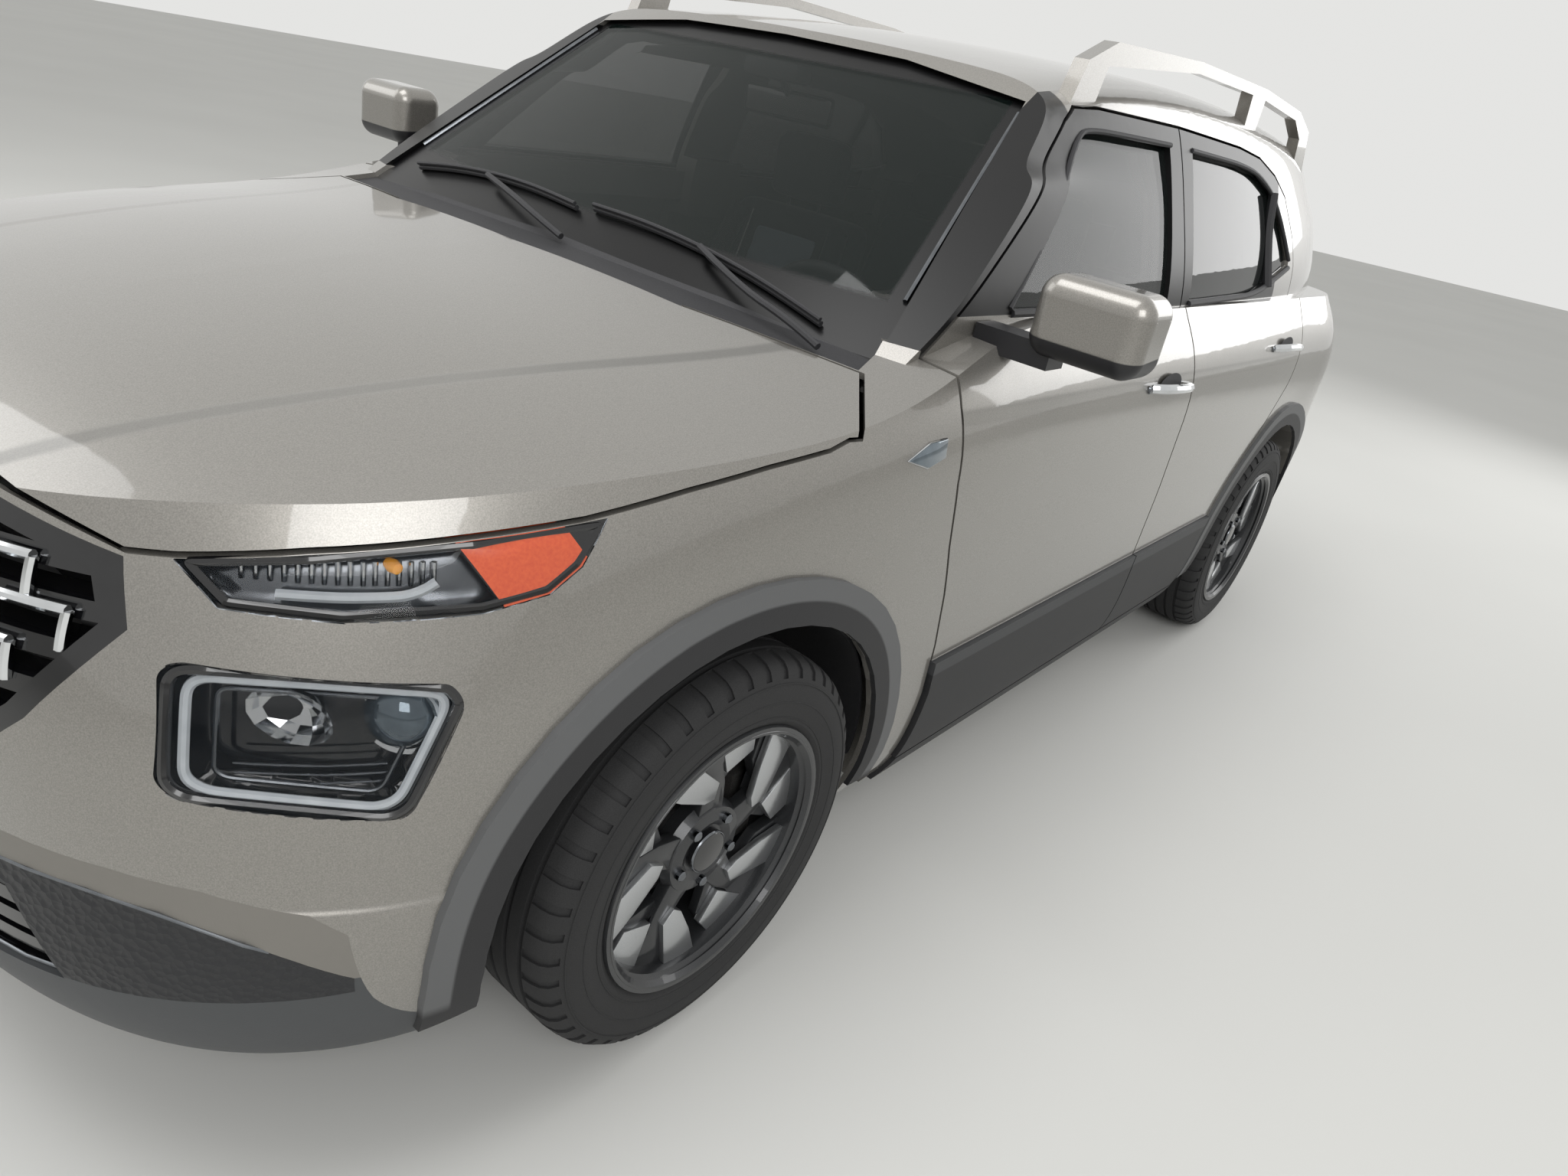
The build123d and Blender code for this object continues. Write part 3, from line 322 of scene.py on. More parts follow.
# polished black ABS, bright and dark chrome plating, machined and painted aluminium, cast iron,
# turned and dull steel, rubber, leather, and the coloured plastics and glass of the lamps
glossBlack = plainFinish("pianoBlackAbs", "#0C0C0E", 0.12, 0.02, 0.00001, "#0A0A0C", "#101012",
                         Coat_Weight=0.6)
chrome = plainFinish("brightChromePlating", "#D6D8DA", 0.09, 0.03, 0.00001, "#CFD1D3", "#DDDFE1",
                     Metallic=1.0)
darkChrome = plainFinish("darkChromePlating", "#74777B", 0.2, 0.03, 0.00001, "#6C6F73", "#7E8185",
                         Metallic=1.0)
machinedAlloy = plainFinish("machinedAluminium", "#B9BBBD", 0.3, 0.0008, 0.00002, "#AEB0B2",
                            "#C2C4C6", Metallic=0.9, Coat_Weight=0.5)
darkAlloy = plainFinish("darkPaintedAluminium", "#2F3032", 0.38, 0.0015, 0.00002, "#2A2B2D",
                        "#353638", Metallic=0.5, Coat_Weight=0.5)
castIron = plainFinish("castIron", "#5B5A58", 0.55, 0.002, 0.0002, "#4C4B49", "#6A6866",
                       Metallic=0.8)
discSteel = plainFinish("turnedDiscSteel", "#8A8A8A", 0.32, 0.001, 0.00005, "#7C7C7C", "#989898",
                        Metallic=1.0)
chassisPaint = plainFinish("blackChassisPaint", "#1A1A1C", 0.5, 0.004, 0.0001, "#161618", "#212123")
exhaustSteel = plainFinish("dullExhaustSteel", "#85817B", 0.45, 0.01, 0.0001, "#74706A", "#95918B",
                           Metallic=0.9)
tyreRubber = plainFinish("vulcanisedRubber", "#1B1B1C", 0.78, 0.0015, 0.0002, "#171718", "#232324")
leather = plainFinish("blackGrainLeather", "#1B1B1D", 0.5, 0.0018, 0.0003, "#161618", "#242427")
amberLens = plainFinish("amberLampPlastic", "#C4481A", 0.18, 0.004, 0.0001, "#BE4216", "#CA5020",
                        Coat_Weight=1.0)
bulbGlass = plainFinish("amberBulbGlass", "#F2A21E", 0.1, 0.01, 0.0001, "#EE9612", "#F6B23A",
                        Coat_Weight=1.0, Emission_Strength=0.25,
                        Emission_Color=linear("#F2A21E"))
guidePlastic = plainFinish("milkyLightGuide", "#D5DBE0", 0.25, 0.02, 0.00005, "#CDD3D9", "#DDE3E8",
                           Coat_Weight=0.6)
projectorGlass = plainFinish("projectorLensGlass", "#5F6B74", 0.04, 0.02, 0.00001, "#56626B",
                             "#69767F", Metallic=0.6, Coat_Weight=1.0)
plateAlloy = plainFinish("paintedPlateAluminium", "#C9C9C6", 0.4, 0.02, 0.0001, "#C2C2BF",
                         "#D0D0CD", Metallic=0.2)
silvering = plainFinish("mirrorSilvering", "#C9D2D8", 0.02, 0.05, 0.000001, "#C5CED4", "#CDD6DC",
                        Metallic=1.0)


def paneGlass(name, colour, clear):
    # green tinted safety glass: a thin pane, so it is see-through with a gloss over it
    material, tree, shader = newFinish(name, colour, 0.02)
    place = addNode(tree, "ShaderNodeTexCoord")
    noise = addNode(tree, "ShaderNodeTexNoise", {"Scale": 2.0}, {"Vector": place.outputs["Object"]})
    tint = addNode(tree, "ShaderNodeMapRange", {"To Min": clear - 0.03, "To Max": clear + 0.03},
                   {"Value": noise.outputs["Fac"]})
    tree.links.new(tint.outputs[0], shader.inputs["Alpha"])
    return material, tree, shader, place


sideGlass = paneGlass("tintedSideGlass", "#141A19", 0.62)[0]
rearGlass = paneGlass("darkPrivacyGlass", "#101413", 0.85)[0]


# the black ceramic frit covers the pane's edges and fades in dots, here as a soft edge
fritLook = {"foot": 1.095, "head": 1.418, "lowY": 0.655, "highY": 0.535, "ink": "#0B0B0C"}


def windscreenGlass():
    look = fritLook
    material, tree, shader, place = paneGlass("laminatedWindscreen", "#141D1B", 0.42)
    axes = splitAxes(tree, place)
    edge = addNode(tree, "ShaderNodeMapRange",
                   {"From Min": 1.03, "From Max": 1.44, "To Min": look["lowY"],
                    "To Max": look["highY"]}, {"Value": axes["Z"]})
    out = addNode(tree, "ShaderNodeMath", {"operation": "SUBTRACT"},
                  {0: axes["Y"], 1: edge.outputs[0]})
    sides = addNode(tree, "ShaderNodeMapRange", {"From Min": 0.0, "From Max": 0.006},
                    {"Value": out.outputs[0]})
    foot = addNode(tree, "ShaderNodeMapRange",
                   {"From Min": look["foot"], "From Max": look["foot"] - 0.008},
                   {"Value": axes["Z"]})
    head = addNode(tree, "ShaderNodeMapRange",
                   {"From Min": look["head"], "From Max": look["head"] + 0.006},
                   {"Value": axes["Z"]})
    first = addNode(tree, "ShaderNodeMath", {"operation": "MAXIMUM"},
                    {0: sides.outputs[0], 1: foot.outputs[0]})
    frit = addNode(tree, "ShaderNodeMath", {"operation": "MAXIMUM"},
                   {0: first.outputs[0], 1: head.outputs[0]})
    ink = addNode(tree, "ShaderNodeBsdfPrincipled", {
        "Base Color": linear(look["ink"]), "Roughness": 0.3, "Specular IOR Level": 0.3})
    layOver(tree, frit, shader, ink)
    return material


frontGlass = windscreenGlass()
lampLens = paneGlass("clearPolycarbonate", "#1A2026", 0.16)[0]

# moulded red acrylic with vertical prisms behind a smooth face
redLens, redTree, redShader = newFinish("redAcrylicLens", "#7A0D10", 0.14, Coat_Weight=1.0,
                                        Transmission_Weight=0.25)
redPlace = addNode(redTree, "ShaderNodeTexCoord")
redRibs = addNode(redTree, "ShaderNodeTexWave", {"Scale": 26.0, "bands_direction": "Y"},
                  {"Vector": redPlace.outputs["Object"]})
redRamp = addNode(redTree, "ShaderNodeValToRGB", links={"Fac": redRibs.outputs["Color"]})
setRamp(redRamp, "#5E0809", "#A3181A")
redTree.links.new(redRamp.outputs["Color"], redShader.inputs["Base Color"])


def wovenFabric(name, low, high, thread=0.0016):
    # plain weave: two sets of threads crossing, drawn as coarse as the render can show
    material, tree, shader = newFinish(name, low, 0.92, Sheen_Weight=0.25, Sheen_Roughness=0.5)
    place = addNode(tree, "ShaderNodeTexCoord")
    scale = 0.314 / (2 * thread)  # a wave is 0.314 / Scale long, and spans two threads
    waves = [addNode(tree, "ShaderNodeTexWave", {"Scale": scale, "bands_direction": way,
                                                 "Distortion": 0.4},
                     {"Vector": place.outputs["Object"]}) for way in ("Y", "Z")]
    height = addNode(tree, "ShaderNodeMath", {"operation": "MULTIPLY"},
                     {0: waves[0].outputs["Fac"], 1: waves[1].outputs["Fac"]})
    ramp = addNode(tree, "ShaderNodeValToRGB", links={"Fac": height.outputs[0]})
    setRamp(ramp, low, high)
    tree.links.new(ramp.outputs["Color"], shader.inputs["Base Color"])
    bump = addNode(tree, "ShaderNodeBump", {"Strength": 0.5, "Distance": 0.0004},
                   {"Height": height.outputs[0]})
    tree.links.new(bump.outputs["Normal"], shader.inputs["Normal"])
    return material


darkFabric = wovenFabric("charcoalWovenFabric", "#1C1D20", "#33353A")
paleFabric = wovenFabric("greyBlueWovenFabric", "#7E8894", "#A3ADB8")
threadWhite = plainFinish("paleSewingThread", "#C9C7C1", 0.8, 0.001, 0.0002, "#BDBBB5", "#D5D3CD")

nodeFinish = {
    "body_sides": bodyPaint, "front_fenders": bodyPaint, "roof": bodyPaint,
    "windscreen": frontGlass, "cowl_panel": darkAbs, "front_bumper": bumperPaint,
    "front_valance": noseAbs, "grille": glossBlack, "rear_bumper": darkAbs,
    "headlamps": lampLens, "upper_lamps": lampLens, "tail_lamps": redLens,
    "arch_trims": archAbs, "roof_rails": bodyPaint, "front_seats": darkFabric,
    "front_suspension": chassisPaint, "front_struts": chassisPaint, "floor_pan": chassisPaint,
    "engine_bay": chassisPaint, "engine": castIron, "exhaust": exhaustSteel,
    "fuel_tank": chassisPaint, "dashboard": cabinAbs, "rear_seat": darkFabric,
    "rear_axle": chassisPaint, "bonnet": bonnetPaint, "tailgate": bodyPaint,
    "tailgate_glass": rearGlass, "steering_wheel": leather,
}
for side in ("left", "right"):
    nodeFinish["door_front_" + side] = doorFinish
    nodeFinish["door_rear_" + side] = doorFinish
    nodeFinish["glass_front_" + side] = sideGlass
    nodeFinish["glass_rear_" + side] = rearGlass
    nodeFinish["mirror_" + side] = bodyPaint
    nodeFinish["knuckle_" + side] = castIron
    for end in ("front", "rear"):
        nodeFinish["wheel_%s_%s" % (end, side)] = darkAlloy
        nodeFinish["tyre_%s_%s" % (end, side)] = tyreRubber
for name, piece in nodes.items():
    for spot in piece.material_slots:
        spot.material = nodeFinish[name]
print("finishes laid on the frame")


def restart():
    # object mode, with nothing selected
    if bpy.context.object and bpy.context.object.mode != "OBJECT":
        bpy.ops.object.mode_set(mode="OBJECT")
    bpy.ops.object.select_all(action="DESELECT")


def focus(piece):
    restart()
    piece.select_set(True)
    bpy.context.view_layer.objects.active = piece


def nameIt(name):
    piece = bpy.context.object
    piece.name = piece.data.name = name
    return piece


def drawLine(name, points):
    # a bare chain of edges, extruded point by point from one vertex
    restart()
    bpy.ops.mesh.primitive_plane_add(size=0.01, location=(0, 0, 0))
    piece = nameIt(name)
    bpy.ops.object.mode_set(mode="EDIT")
    bpy.ops.mesh.select_mode(type="VERT")
    bpy.ops.mesh.select_all(action="SELECT")
    bpy.ops.mesh.merge(type="CENTER")
    bpy.ops.transform.translate(value=tuple(points[0]))
    for first, second in zip(points, points[1:]):
        step = Vector(second) - Vector(first)
        bpy.ops.mesh.extrude_region_move(TRANSFORM_OT_translate={"value": tuple(step)})
    bpy.ops.mesh.select_all(action="SELECT")
    return piece


def plate(name, points, push, bevel=0.0):
    # a flat outline filled with one face and pushed out to a thickness
    piece = drawLine(name, points)
    bpy.ops.mesh.edge_face_add()
    bpy.ops.mesh.extrude_region_move(TRANSFORM_OT_translate={"value": tuple(push)})
    bpy.ops.mesh.select_all(action="SELECT")
    bpy.ops.mesh.normals_make_consistent(inside=False)
    bpy.ops.object.mode_set(mode="OBJECT")
    if bevel:
        finishWith(piece, "BEVEL", width=bevel, segments=2)
    return piece


def turned(name, profile, steps, closed=False, axis="Y"):
    # a profile of (place along the axis, radius), turned once round that axis
    lay = {"X": lambda a, r: (a, 0, r), "Y": lambda a, r: (0, a, r), "Z": lambda a, r: (r, 0, a)}
    piece = drawLine(name, [lay[axis](*point) for point in profile])
    if closed:
        bpy.ops.object.mode_set(mode="OBJECT")
        for vertex in piece.data.vertices:
            vertex.select = vertex.index in (0, len(profile) - 1)
        for edge in piece.data.edges:
            edge.select = False
        bpy.ops.object.mode_set(mode="EDIT")
        bpy.ops.mesh.select_mode(type="VERT")
        bpy.ops.mesh.edge_face_add()
        bpy.ops.mesh.select_all(action="SELECT")
    bpy.ops.mesh.spin(steps=steps, angle=math.tau, center=(0, 0, 0),
                      axis=[float(axis == letter) for letter in "XYZ"])
    bpy.ops.mesh.select_all(action="SELECT")
    bpy.ops.mesh.remove_doubles(threshold=0.00002)
    bpy.ops.mesh.normals_make_consistent(inside=False)
    bpy.ops.object.mode_set(mode="OBJECT")
    return piece


def finishWith(piece, kind, **settings):
    focus(piece)
    modifier = piece.modifiers.new(kind, kind)
    for key, value in settings.items():
        setattr(modifier, key, value)
    bpy.ops.object.modifier_apply(modifier=modifier.name)


def tube(name, points, radius, closed=False, smooth=True):
    # a round bar along a line of points
    line = bpy.data.curves.new(name, "CURVE")
    line.dimensions = "3D"
    line.bevel_depth = radius
    line.bevel_resolution = 2
    line.use_fill_caps = True
    run = line.splines.new("NURBS" if smooth else "POLY")
    run.points.add(len(points) - 1)
    for spot, point in zip(run.points, points):
        spot.co = (*point, 1)
    run.use_cyclic_u = closed
    if smooth:
        run.order_u = 3
        run.use_endpoint_u = not closed
        run.resolution_u = 4
    piece = bpy.data.objects.new(name, line)
    bpy.context.scene.collection.objects.link(piece)
    focus(piece)
    bpy.ops.object.convert(target="MESH")
    return nameIt(name)


def onSurface(names, start, way):
    # the nearest place where a ray meets one of the CAD nodes, and the normal there
    best = None
    for name in names:
        hit, place, normal, _ = nodes[name].ray_cast(Vector(start), Vector(way).normalized())
        if hit:
            away = (place - Vector(start)).length
            if best is None or away < best[0]:
                best = (away, place.copy(), normal.copy())
    return best[1:] if best else None


outside = {"side": 1.4, "above": 1.9, "behind": -2.6}  # where the rays on to the car start


def onSide(names, x, z):
    return onSurface(names, (x, outside["side"], z), (0, -1, 0))


def sideLine(names, outline, lift):
    # points of a side view (x, z), laid on the left side's skin and lifted off it
    found = [onSide(names, x, z) for x, z in outline]
    return [place + normal * lift for place, normal in filter(None, found)]


def pickFaces(piece, wanted):
    for face in piece.data.polygons:
        face.select = bool(wanted(face))
    for edge in piece.data.edges:
        edge.select = False
    for vertex in piece.data.vertices:
        vertex.select = False


def copied(piece, name, change):
    # a copy with its own mesh, put elsewhere by a matrix
    twin = piece.copy()
    twin.data = piece.data.copy()
    twin.name = twin.data.name = name
    bpy.context.scene.collection.objects.link(twin)
    twin.data.transform(change)
    return twin


def mirrored(piece, name):
    twin = copied(piece, name, Matrix.Scale(-1, 4, (0, 1, 0)))
    twin.data.flip_normals()
    return twin


def joined(name, *pieces):
    restart()
    for piece in pieces:
        piece.select_set(True)
    bpy.context.view_layer.objects.active = pieces[0]
    bpy.ops.object.join()
    return nameIt(name)


def coated(piece, material):
    piece.data.materials.append(material)
    return piece


def dress(piece, material, body, smooth=35):
    # applies the place, lays the finish on, shades smooth and rides on a body
    focus(piece)
    bpy.ops.object.transform_apply(location=True, rotation=True, scale=True)
    if material:
        piece.data.materials.clear()
        coated(piece, material)
    bpy.ops.object.shade_smooth_by_angle(angle=math.radians(smooth))
    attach(piece, body)
    return piece


def bothSides(piece, material, body, smooth=35):
    # a piece on the left with its twin on the right, each on its own side's body
    twin = mirrored(piece, piece.name + "Right")
    dress(piece, material, body, smooth)
    dress(twin, material, body.replace("left", "right"), smooth)
    return piece, twin


def box(name, low, high, bevel=0.0, segments=2):
    restart()
    middle = [(a + b) / 2 for a, b in zip(low, high)]
    bpy.ops.mesh.primitive_cube_add(size=1, location=middle)
    piece = nameIt(name)
    bpy.ops.transform.resize(value=[b - a for a, b in zip(low, high)])
    bpy.ops.object.transform_apply(location=True, rotation=True, scale=True)
    if bevel:
        finishWith(piece, "BEVEL", width=bevel, segments=segments)
    return piece


# wheels and tyres are modelled once, at the left hub's own centre, and copied
wheelLook = {"face": 0.072, "spokes": 5, "nutCircle": 0.057, "turns": 72}


def polar(radius, degrees, depth):
    turn = math.radians(degrees)
    return (radius * math.sin(turn), depth, radius * math.cos(turn))


def makeWheel():
    look = wheelLook
    face = look["face"]
    parts = [
        coated(turned("wheelBarrel", [
            (-0.0995, 0.2235), (-0.0995, 0.2155), (-0.092, 0.205), (-0.02, 0.195), (0.04, 0.197),
            (0.082, 0.203), (0.090, 0.2125), (0.0995, 0.2165), (0.0995, 0.2235), (0.0945, 0.2255),
            (0.0895, 0.2158), (-0.0895, 0.2158), (-0.0945, 0.2255)],
            look["turns"], closed=True), darkAlloy),
        coated(turned("wheelLip", [
            (0.0922, 0.2065), (0.0999, 0.2125), (0.1003, 0.2165), (0.0985, 0.2180),
            (0.0915, 0.2100)], look["turns"], closed=True), darkAlloy),
        coated(turned("wheelHub", [
            (0.030, 0.0), (0.030, 0.078), (0.052, 0.080), (face - 0.006, 0.072),
            (face - 0.002, 0.052), (face - 0.010, 0.040), (face - 0.010, 0.0)], 40), darkAlloy),
        coated(turned("wheelCap", [
            (face - 0.012, 0.0355), (face + 0.001, 0.0350), (face + 0.004, 0.0320),
            (face + 0.006, 0.016), (face + 0.0065, 0.0)], 40), glossBlack),
        coated(turned("capRing", [
            (face + 0.0010, 0.0360), (face + 0.0030, 0.0350), (face + 0.0035, 0.0335),
            (face + 0.0010, 0.0325)], 40, closed=True), darkChrome),
    ]
    # each spoke's plates: back from the face, thickness, bevel, finish, and (radius, angle) outline
    plates = {
        "wheelArm": (-0.030, 0.022, 0.003, darkAlloy, (
            (0.050, -34), (0.050, 34), (0.090, 15), (0.128, 10), (0.168, 15), (0.2075, 21),
            (0.2075, -3), (0.150, -4), (0.118, -11), (0.086, -18))),
        "wheelBlade": (-0.012, 0.0125, 0.0015, machinedAlloy, (
            (0.104, 16), (0.150, 33), (0.2078, 40), (0.2078, 21), (0.128, 1), (0.100, 4))),
        "wheelBone": (-0.034, 0.020, 0.002, darkAlloy, (
            (0.104, -11), (0.114, 10), (0.2076, 33), (0.2076, 43), (0.150, 36), (0.132, -8))),
        "wheelFin": (-0.020, 0.013, 0.0015, machinedAlloy, (
            (0.132, -9), (0.2078, 2), (0.2078, -21), (0.168, -27))),
        "wheelStrut": (-0.036, 0.017, 0.002, darkAlloy, (
            (0.098, -12), (0.122, -2), (0.2072, -6), (0.2072, -20), (0.158, -26))),
    }
    step = 360 / look["spokes"]
    for i in range(look["spokes"]):
        for name, (back, thick, bevel, finish, outline) in plates.items():
            points = [polar(r, i * step + a, face + back) for r, a in outline]
            parts.append(coated(plate("%s%d" % (name, i), points, (0, thick, 0), bevel), finish))
        nut = turned("wheelNut%d" % i, [(face - 0.012, 0.0085), (face + 0.004, 0.0085),
                                        (face + 0.006, 0.0060), (face + 0.006, 0.0)], 12)
        nut.data.transform(Matrix.Translation(polar(look["nutCircle"], (i + 0.5) * step, 0)))
        parts.append(coated(nut, darkChrome))
    # the turned disc behind the spokes and its hat
    parts.append(coated(turned("brakeDisc", [
        (-0.0415, 0.141), (-0.0205, 0.141), (-0.0205, 0.085), (-0.002, 0.078), (0.030, 0.074),
        (0.030, 0.0), (-0.0415, 0.0)], 64), discSteel))
    return joined("alloyWheel", *parts)


tyreLook = {"outer": 0.3275, "half": 0.1020, "steps": 144, "groove": 0.006, "sipe": 0.0035,
            "grooves": (0.047, 0.016, -0.016, -0.047), "shoulder": 0.052}


def makeTyre():
    look = tyreLook
    half, outer = look["half"], look["outer"]
    side = [(half - 0.013, 0.2170), (half - 0.006, 0.2290), (half - 0.003, 0.2340),
            (half - 0.0035, 0.2400), (half, 0.2560), (half + 0.0002, 0.2720),
            (half - 0.0012, 0.2860), (half - 0.005, 0.3020), (half - 0.012, 0.3140),
            (half - 0.022, 0.3215)]
    tread = [(half - 0.036, 0.3256)]
    for centre in look["grooves"]:
        tread += [(centre + 0.0045, outer), (centre + 0.0035, outer - look["groove"]),
                  (centre - 0.0035, outer - look["groove"]), (centre - 0.0045, outer)]
    profile = side + tread + [(-y, z) for y, z in reversed(side + tread[:1])]
    piece = turned("treadedTyre", profile, look["steps"], closed=True)
    # sipes: every third strip of the shoulders is pressed in
    pitch = math.tau / look["steps"]

    def inSipe(face):
        strip = int((math.atan2(face.center.x, face.center.z) + math.pi) / pitch + 0.01)
        return (strip % 3 == 0 and math.hypot(face.center.x, face.center.z) > 0.300
                and abs(face.center.y) > look["shoulder"])

    focus(piece)
    pickFaces(piece, inSipe)
    bpy.ops.object.mode_set(mode="EDIT")
    bpy.ops.mesh.select_mode(type="FACE")
    bpy.ops.mesh.extrude_region_shrink_fatten(
        TRANSFORM_OT_shrink_fatten={"value": -look["sipe"]})
    bpy.ops.object.mode_set(mode="OBJECT")
    # three fine moulding rings on the sidewall, the first beside the rim
    rings = [turned("sidewallRing%d" % i, [(y, r - 0.0012), (y + 0.0012, r - 0.0006),
                                           (y + 0.0012, r + 0.0006), (y, r + 0.0012)],
                    96, closed=True)
             for i, (y, r) in enumerate(((half - 0.0036, 0.2395), (half - 0.0004, 0.2660),
                                         (half - 0.0030, 0.2945)))]
    return joined("treadedTyre", piece, *rings)


wheelModel, tyreModel = makeWheel(), makeTyre()
for end, axleX in (("Front", frontAxleX), ("Rear", rearAxleX)):
    for side in ("Left", "Right"):
        corner = "%s_%s" % (end.lower(), side.lower())
        for model, word, finish, slotName in ((wheelModel, "wheel", None, "wheel_alloy"),
                                              (tyreModel, "tyre", tyreRubber, "tyre_rubber")):
            piece = copied(model, word + end + side, Matrix.Translation((axleX, wheelY, hubZ)))
            if side == "Right":
                plain, piece = piece, mirrored(piece, word + end + "RightSide")
                bpy.data.objects.remove(plain)
            dress(piece, finish, "wheel_" + corner, 30)
            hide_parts("%s_%s" % (word, corner))
for model in (wheelModel, tyreModel):
    bpy.data.objects.remove(model)
print("wheels and tyres made")


def skinCopy(nodeName, name, outward):
    # the outer faces of the left half of a CAD node, as a sheet of its own
    piece = bpy.data.objects.new(name, nodes[nodeName].data.copy())
    piece.data.name = name
    bpy.context.scene.collection.objects.link(piece)
    piece.data.materials.clear()
    focus(piece)
    bpy.ops.object.mode_set(mode="EDIT")
    bpy.ops.mesh.select_all(action="SELECT")
    bpy.ops.mesh.remove_doubles(threshold=0.00005)
    bpy.ops.object.mode_set(mode="OBJECT")
    way, facing = Vector(outward).normalized(), 0.35
    pickFaces(piece, lambda face: face.center.y < 0 or face.normal.dot(way) < facing)
    bpy.ops.object.mode_set(mode="EDIT")
    bpy.ops.mesh.select_mode(type="FACE")
    bpy.ops.mesh.delete(type="FACE")
    bpy.ops.object.mode_set(mode="OBJECT")
    return piece


def cutAcross(piece, place, way):
    # keeps what lies on the side that `way` points to
    focus(piece)
    bpy.ops.object.mode_set(mode="EDIT")
    bpy.ops.mesh.select_all(action="SELECT")
    bpy.ops.mesh.bisect(plane_co=place, plane_no=way, clear_inner=True)
    bpy.ops.object.mode_set(mode="OBJECT")


def tray(nodeName, name, outward, depth):
    # a pan behind the lens: the sheet is pushed in and leaves its walls behind
    piece = skinCopy(nodeName, name, outward)
    focus(piece)
    step = -Vector(outward).normalized() * depth
    bpy.ops.object.mode_set(mode="EDIT")
    bpy.ops.mesh.select_all(action="SELECT")
    bpy.ops.mesh.extrude_region_move(TRANSFORM_OT_translate={"value": tuple(step)})
    bpy.ops.object.mode_set(mode="OBJECT")
    # the sheet left at the skin goes, the walls and the floor stay
    pushed = {v.index for v in piece.data.vertices if v.select}
    pickFaces(piece, lambda face: not any(i in pushed for i in face.vertices))
    bpy.ops.object.mode_set(mode="EDIT")
    bpy.ops.mesh.delete(type="FACE")
    bpy.ops.object.mode_set(mode="OBJECT")
    finishWith(piece, "SOLIDIFY", thickness=0.0015, offset=-1)
    return piece


def loopOn(names, outline, lift, corner=0.022, steps=5):
    # a closed side-view outline with rounded corners, laid on the skin
    loop = []
    count = len(outline)
    for i in range(count):
        before, here, after = (Vector(outline[(i + k) % count]) for k in (-1, 0, 1))
        start = here + (before - here).normalized() * corner
        end = here + (after - here).normalized() * corner
        loop += [start.lerp(here, t).lerp(here.lerp(end, t), t)
                 for t in (k / steps for k in range(steps + 1))]
    return sideLine(names, loop, lift)


def shrunk(outline, share):
    middle = [sum(p[k] for p in outline) / len(outline) for k in (0, 1)]
    return [tuple(middle[k] + (p[k] - middle[k]) * share for k in (0, 1)) for p in outline]


headlampLook = {
    "outward": (0.50, 0.86, 0.05), "depth": 0.058, "aim": (0.86, 0.50, 0.02),
    "outline": [(1.826, 0.750), (1.580, 0.730), (1.655, 0.580), (1.852, 0.612)],
    "projector": (1.652, 0.684), "projectorScale": 1.16, "reflector": (1.742, 0.690),
    "lens": 0.0025,
}


def makeHeadlamps():
    look, skin = headlampLook, ["headlamps"]
    way = Vector(look["outward"]).normalized()
    bothSides(tray("headlamps", "headlampPan", look["outward"], look["depth"]), glossBlack,
              "body")
    lens = skinCopy("headlamps", "headlampLens", look["outward"])
    finishWith(lens, "SOLIDIFY", thickness=look["lens"], offset=-1)
    bothSides(lens, lampLens, "body")
    # loops round the lamp: share of its outline, place under the skin, corner, bar, finish
    for name, share, lift, corner, bar, finish, slotName in (
            ("headlampGuide", 0.86, -0.010, 0.026, 0.0058, guidePlastic, "lamp_lens"),
            ("headlampRim", 0.955, -0.004, 0.026, 0.0065, glossBlack, "gloss_black"),
            ("headlampInnerFrame", 0.70, -0.024, 0.014, 0.003, darkChrome, "wheel_alloy")):
        loop = loopOn(skin, shrunk(look["outline"], share), lift, corner)
        bothSides(tube(name, loop, bar, closed=True), finish, "body")
    aim = Vector(look["aim"]).normalized()
    turn = Vector((0, 1, 0)).rotation_difference(aim).to_matrix().to_4x4()
    centre = onSide(skin, *look["projector"])[0] - way * 0.046
    place = Matrix.Translation(centre) @ turn @ Matrix.Scale(look["projectorScale"], 4)
    ball = turned("projectorLens", [(0.004, 0.0345), (0.014, 0.0320), (0.023, 0.0250),
                                    (0.029, 0.0140), (0.031, 0.0)], 40)
    collar = turned("projectorCollar", [
        (-0.022, 0.030), (-0.010, 0.040), (0.006, 0.0425), (0.010, 0.0415), (0.008, 0.0370),
        (0.002, 0.0355), (-0.014, 0.0300)], 40, closed=True)
    shade = turned("projectorShutter", [(-0.006, 0.0350), (-0.010, 0.020), (-0.012, 0.0)], 24)
    for piece, finish, slotName in ((ball, projectorGlass, "lamp_lens"),
                                    (collar, chrome, "wheel_alloy"),
                                    (shade, glossBlack, "gloss_black")):
        piece.data.transform(place)
        bothSides(piece, finish, "body")
    # a bowl of bright facets inboard of the projector
    seat = onSide(skin, *look["reflector"])[0]
    bowl = turned("reflectorBowl", [(0.012, 0.040), (0.0, 0.034), (-0.008, 0.026),
                                    (-0.014, 0.017), (-0.017, 0.008), (-0.018, 0.0)], 14)
    bowl.data.transform(Matrix.Translation(seat - way * 0.040) @ turn
                        @ Matrix.Diagonal((1.25, 1.0, 0.85, 1)))
    bothSides(bowl, chrome, "body", 5)
    fins = [tube("headlampFin%d" % i, sideLine(skin, [(x, 0.637 - drop + (x - 1.66) * 0.03)
                                                      for x in (1.668, 1.71, 1.75, 1.80)], -0.030),
                 0.0014) for i, drop in enumerate((0.0, 0.011, 0.022))]
    bothSides(joined("headlampFins", *fins), darkChrome, "body")
    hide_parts("headlamps")


makeHeadlamps()

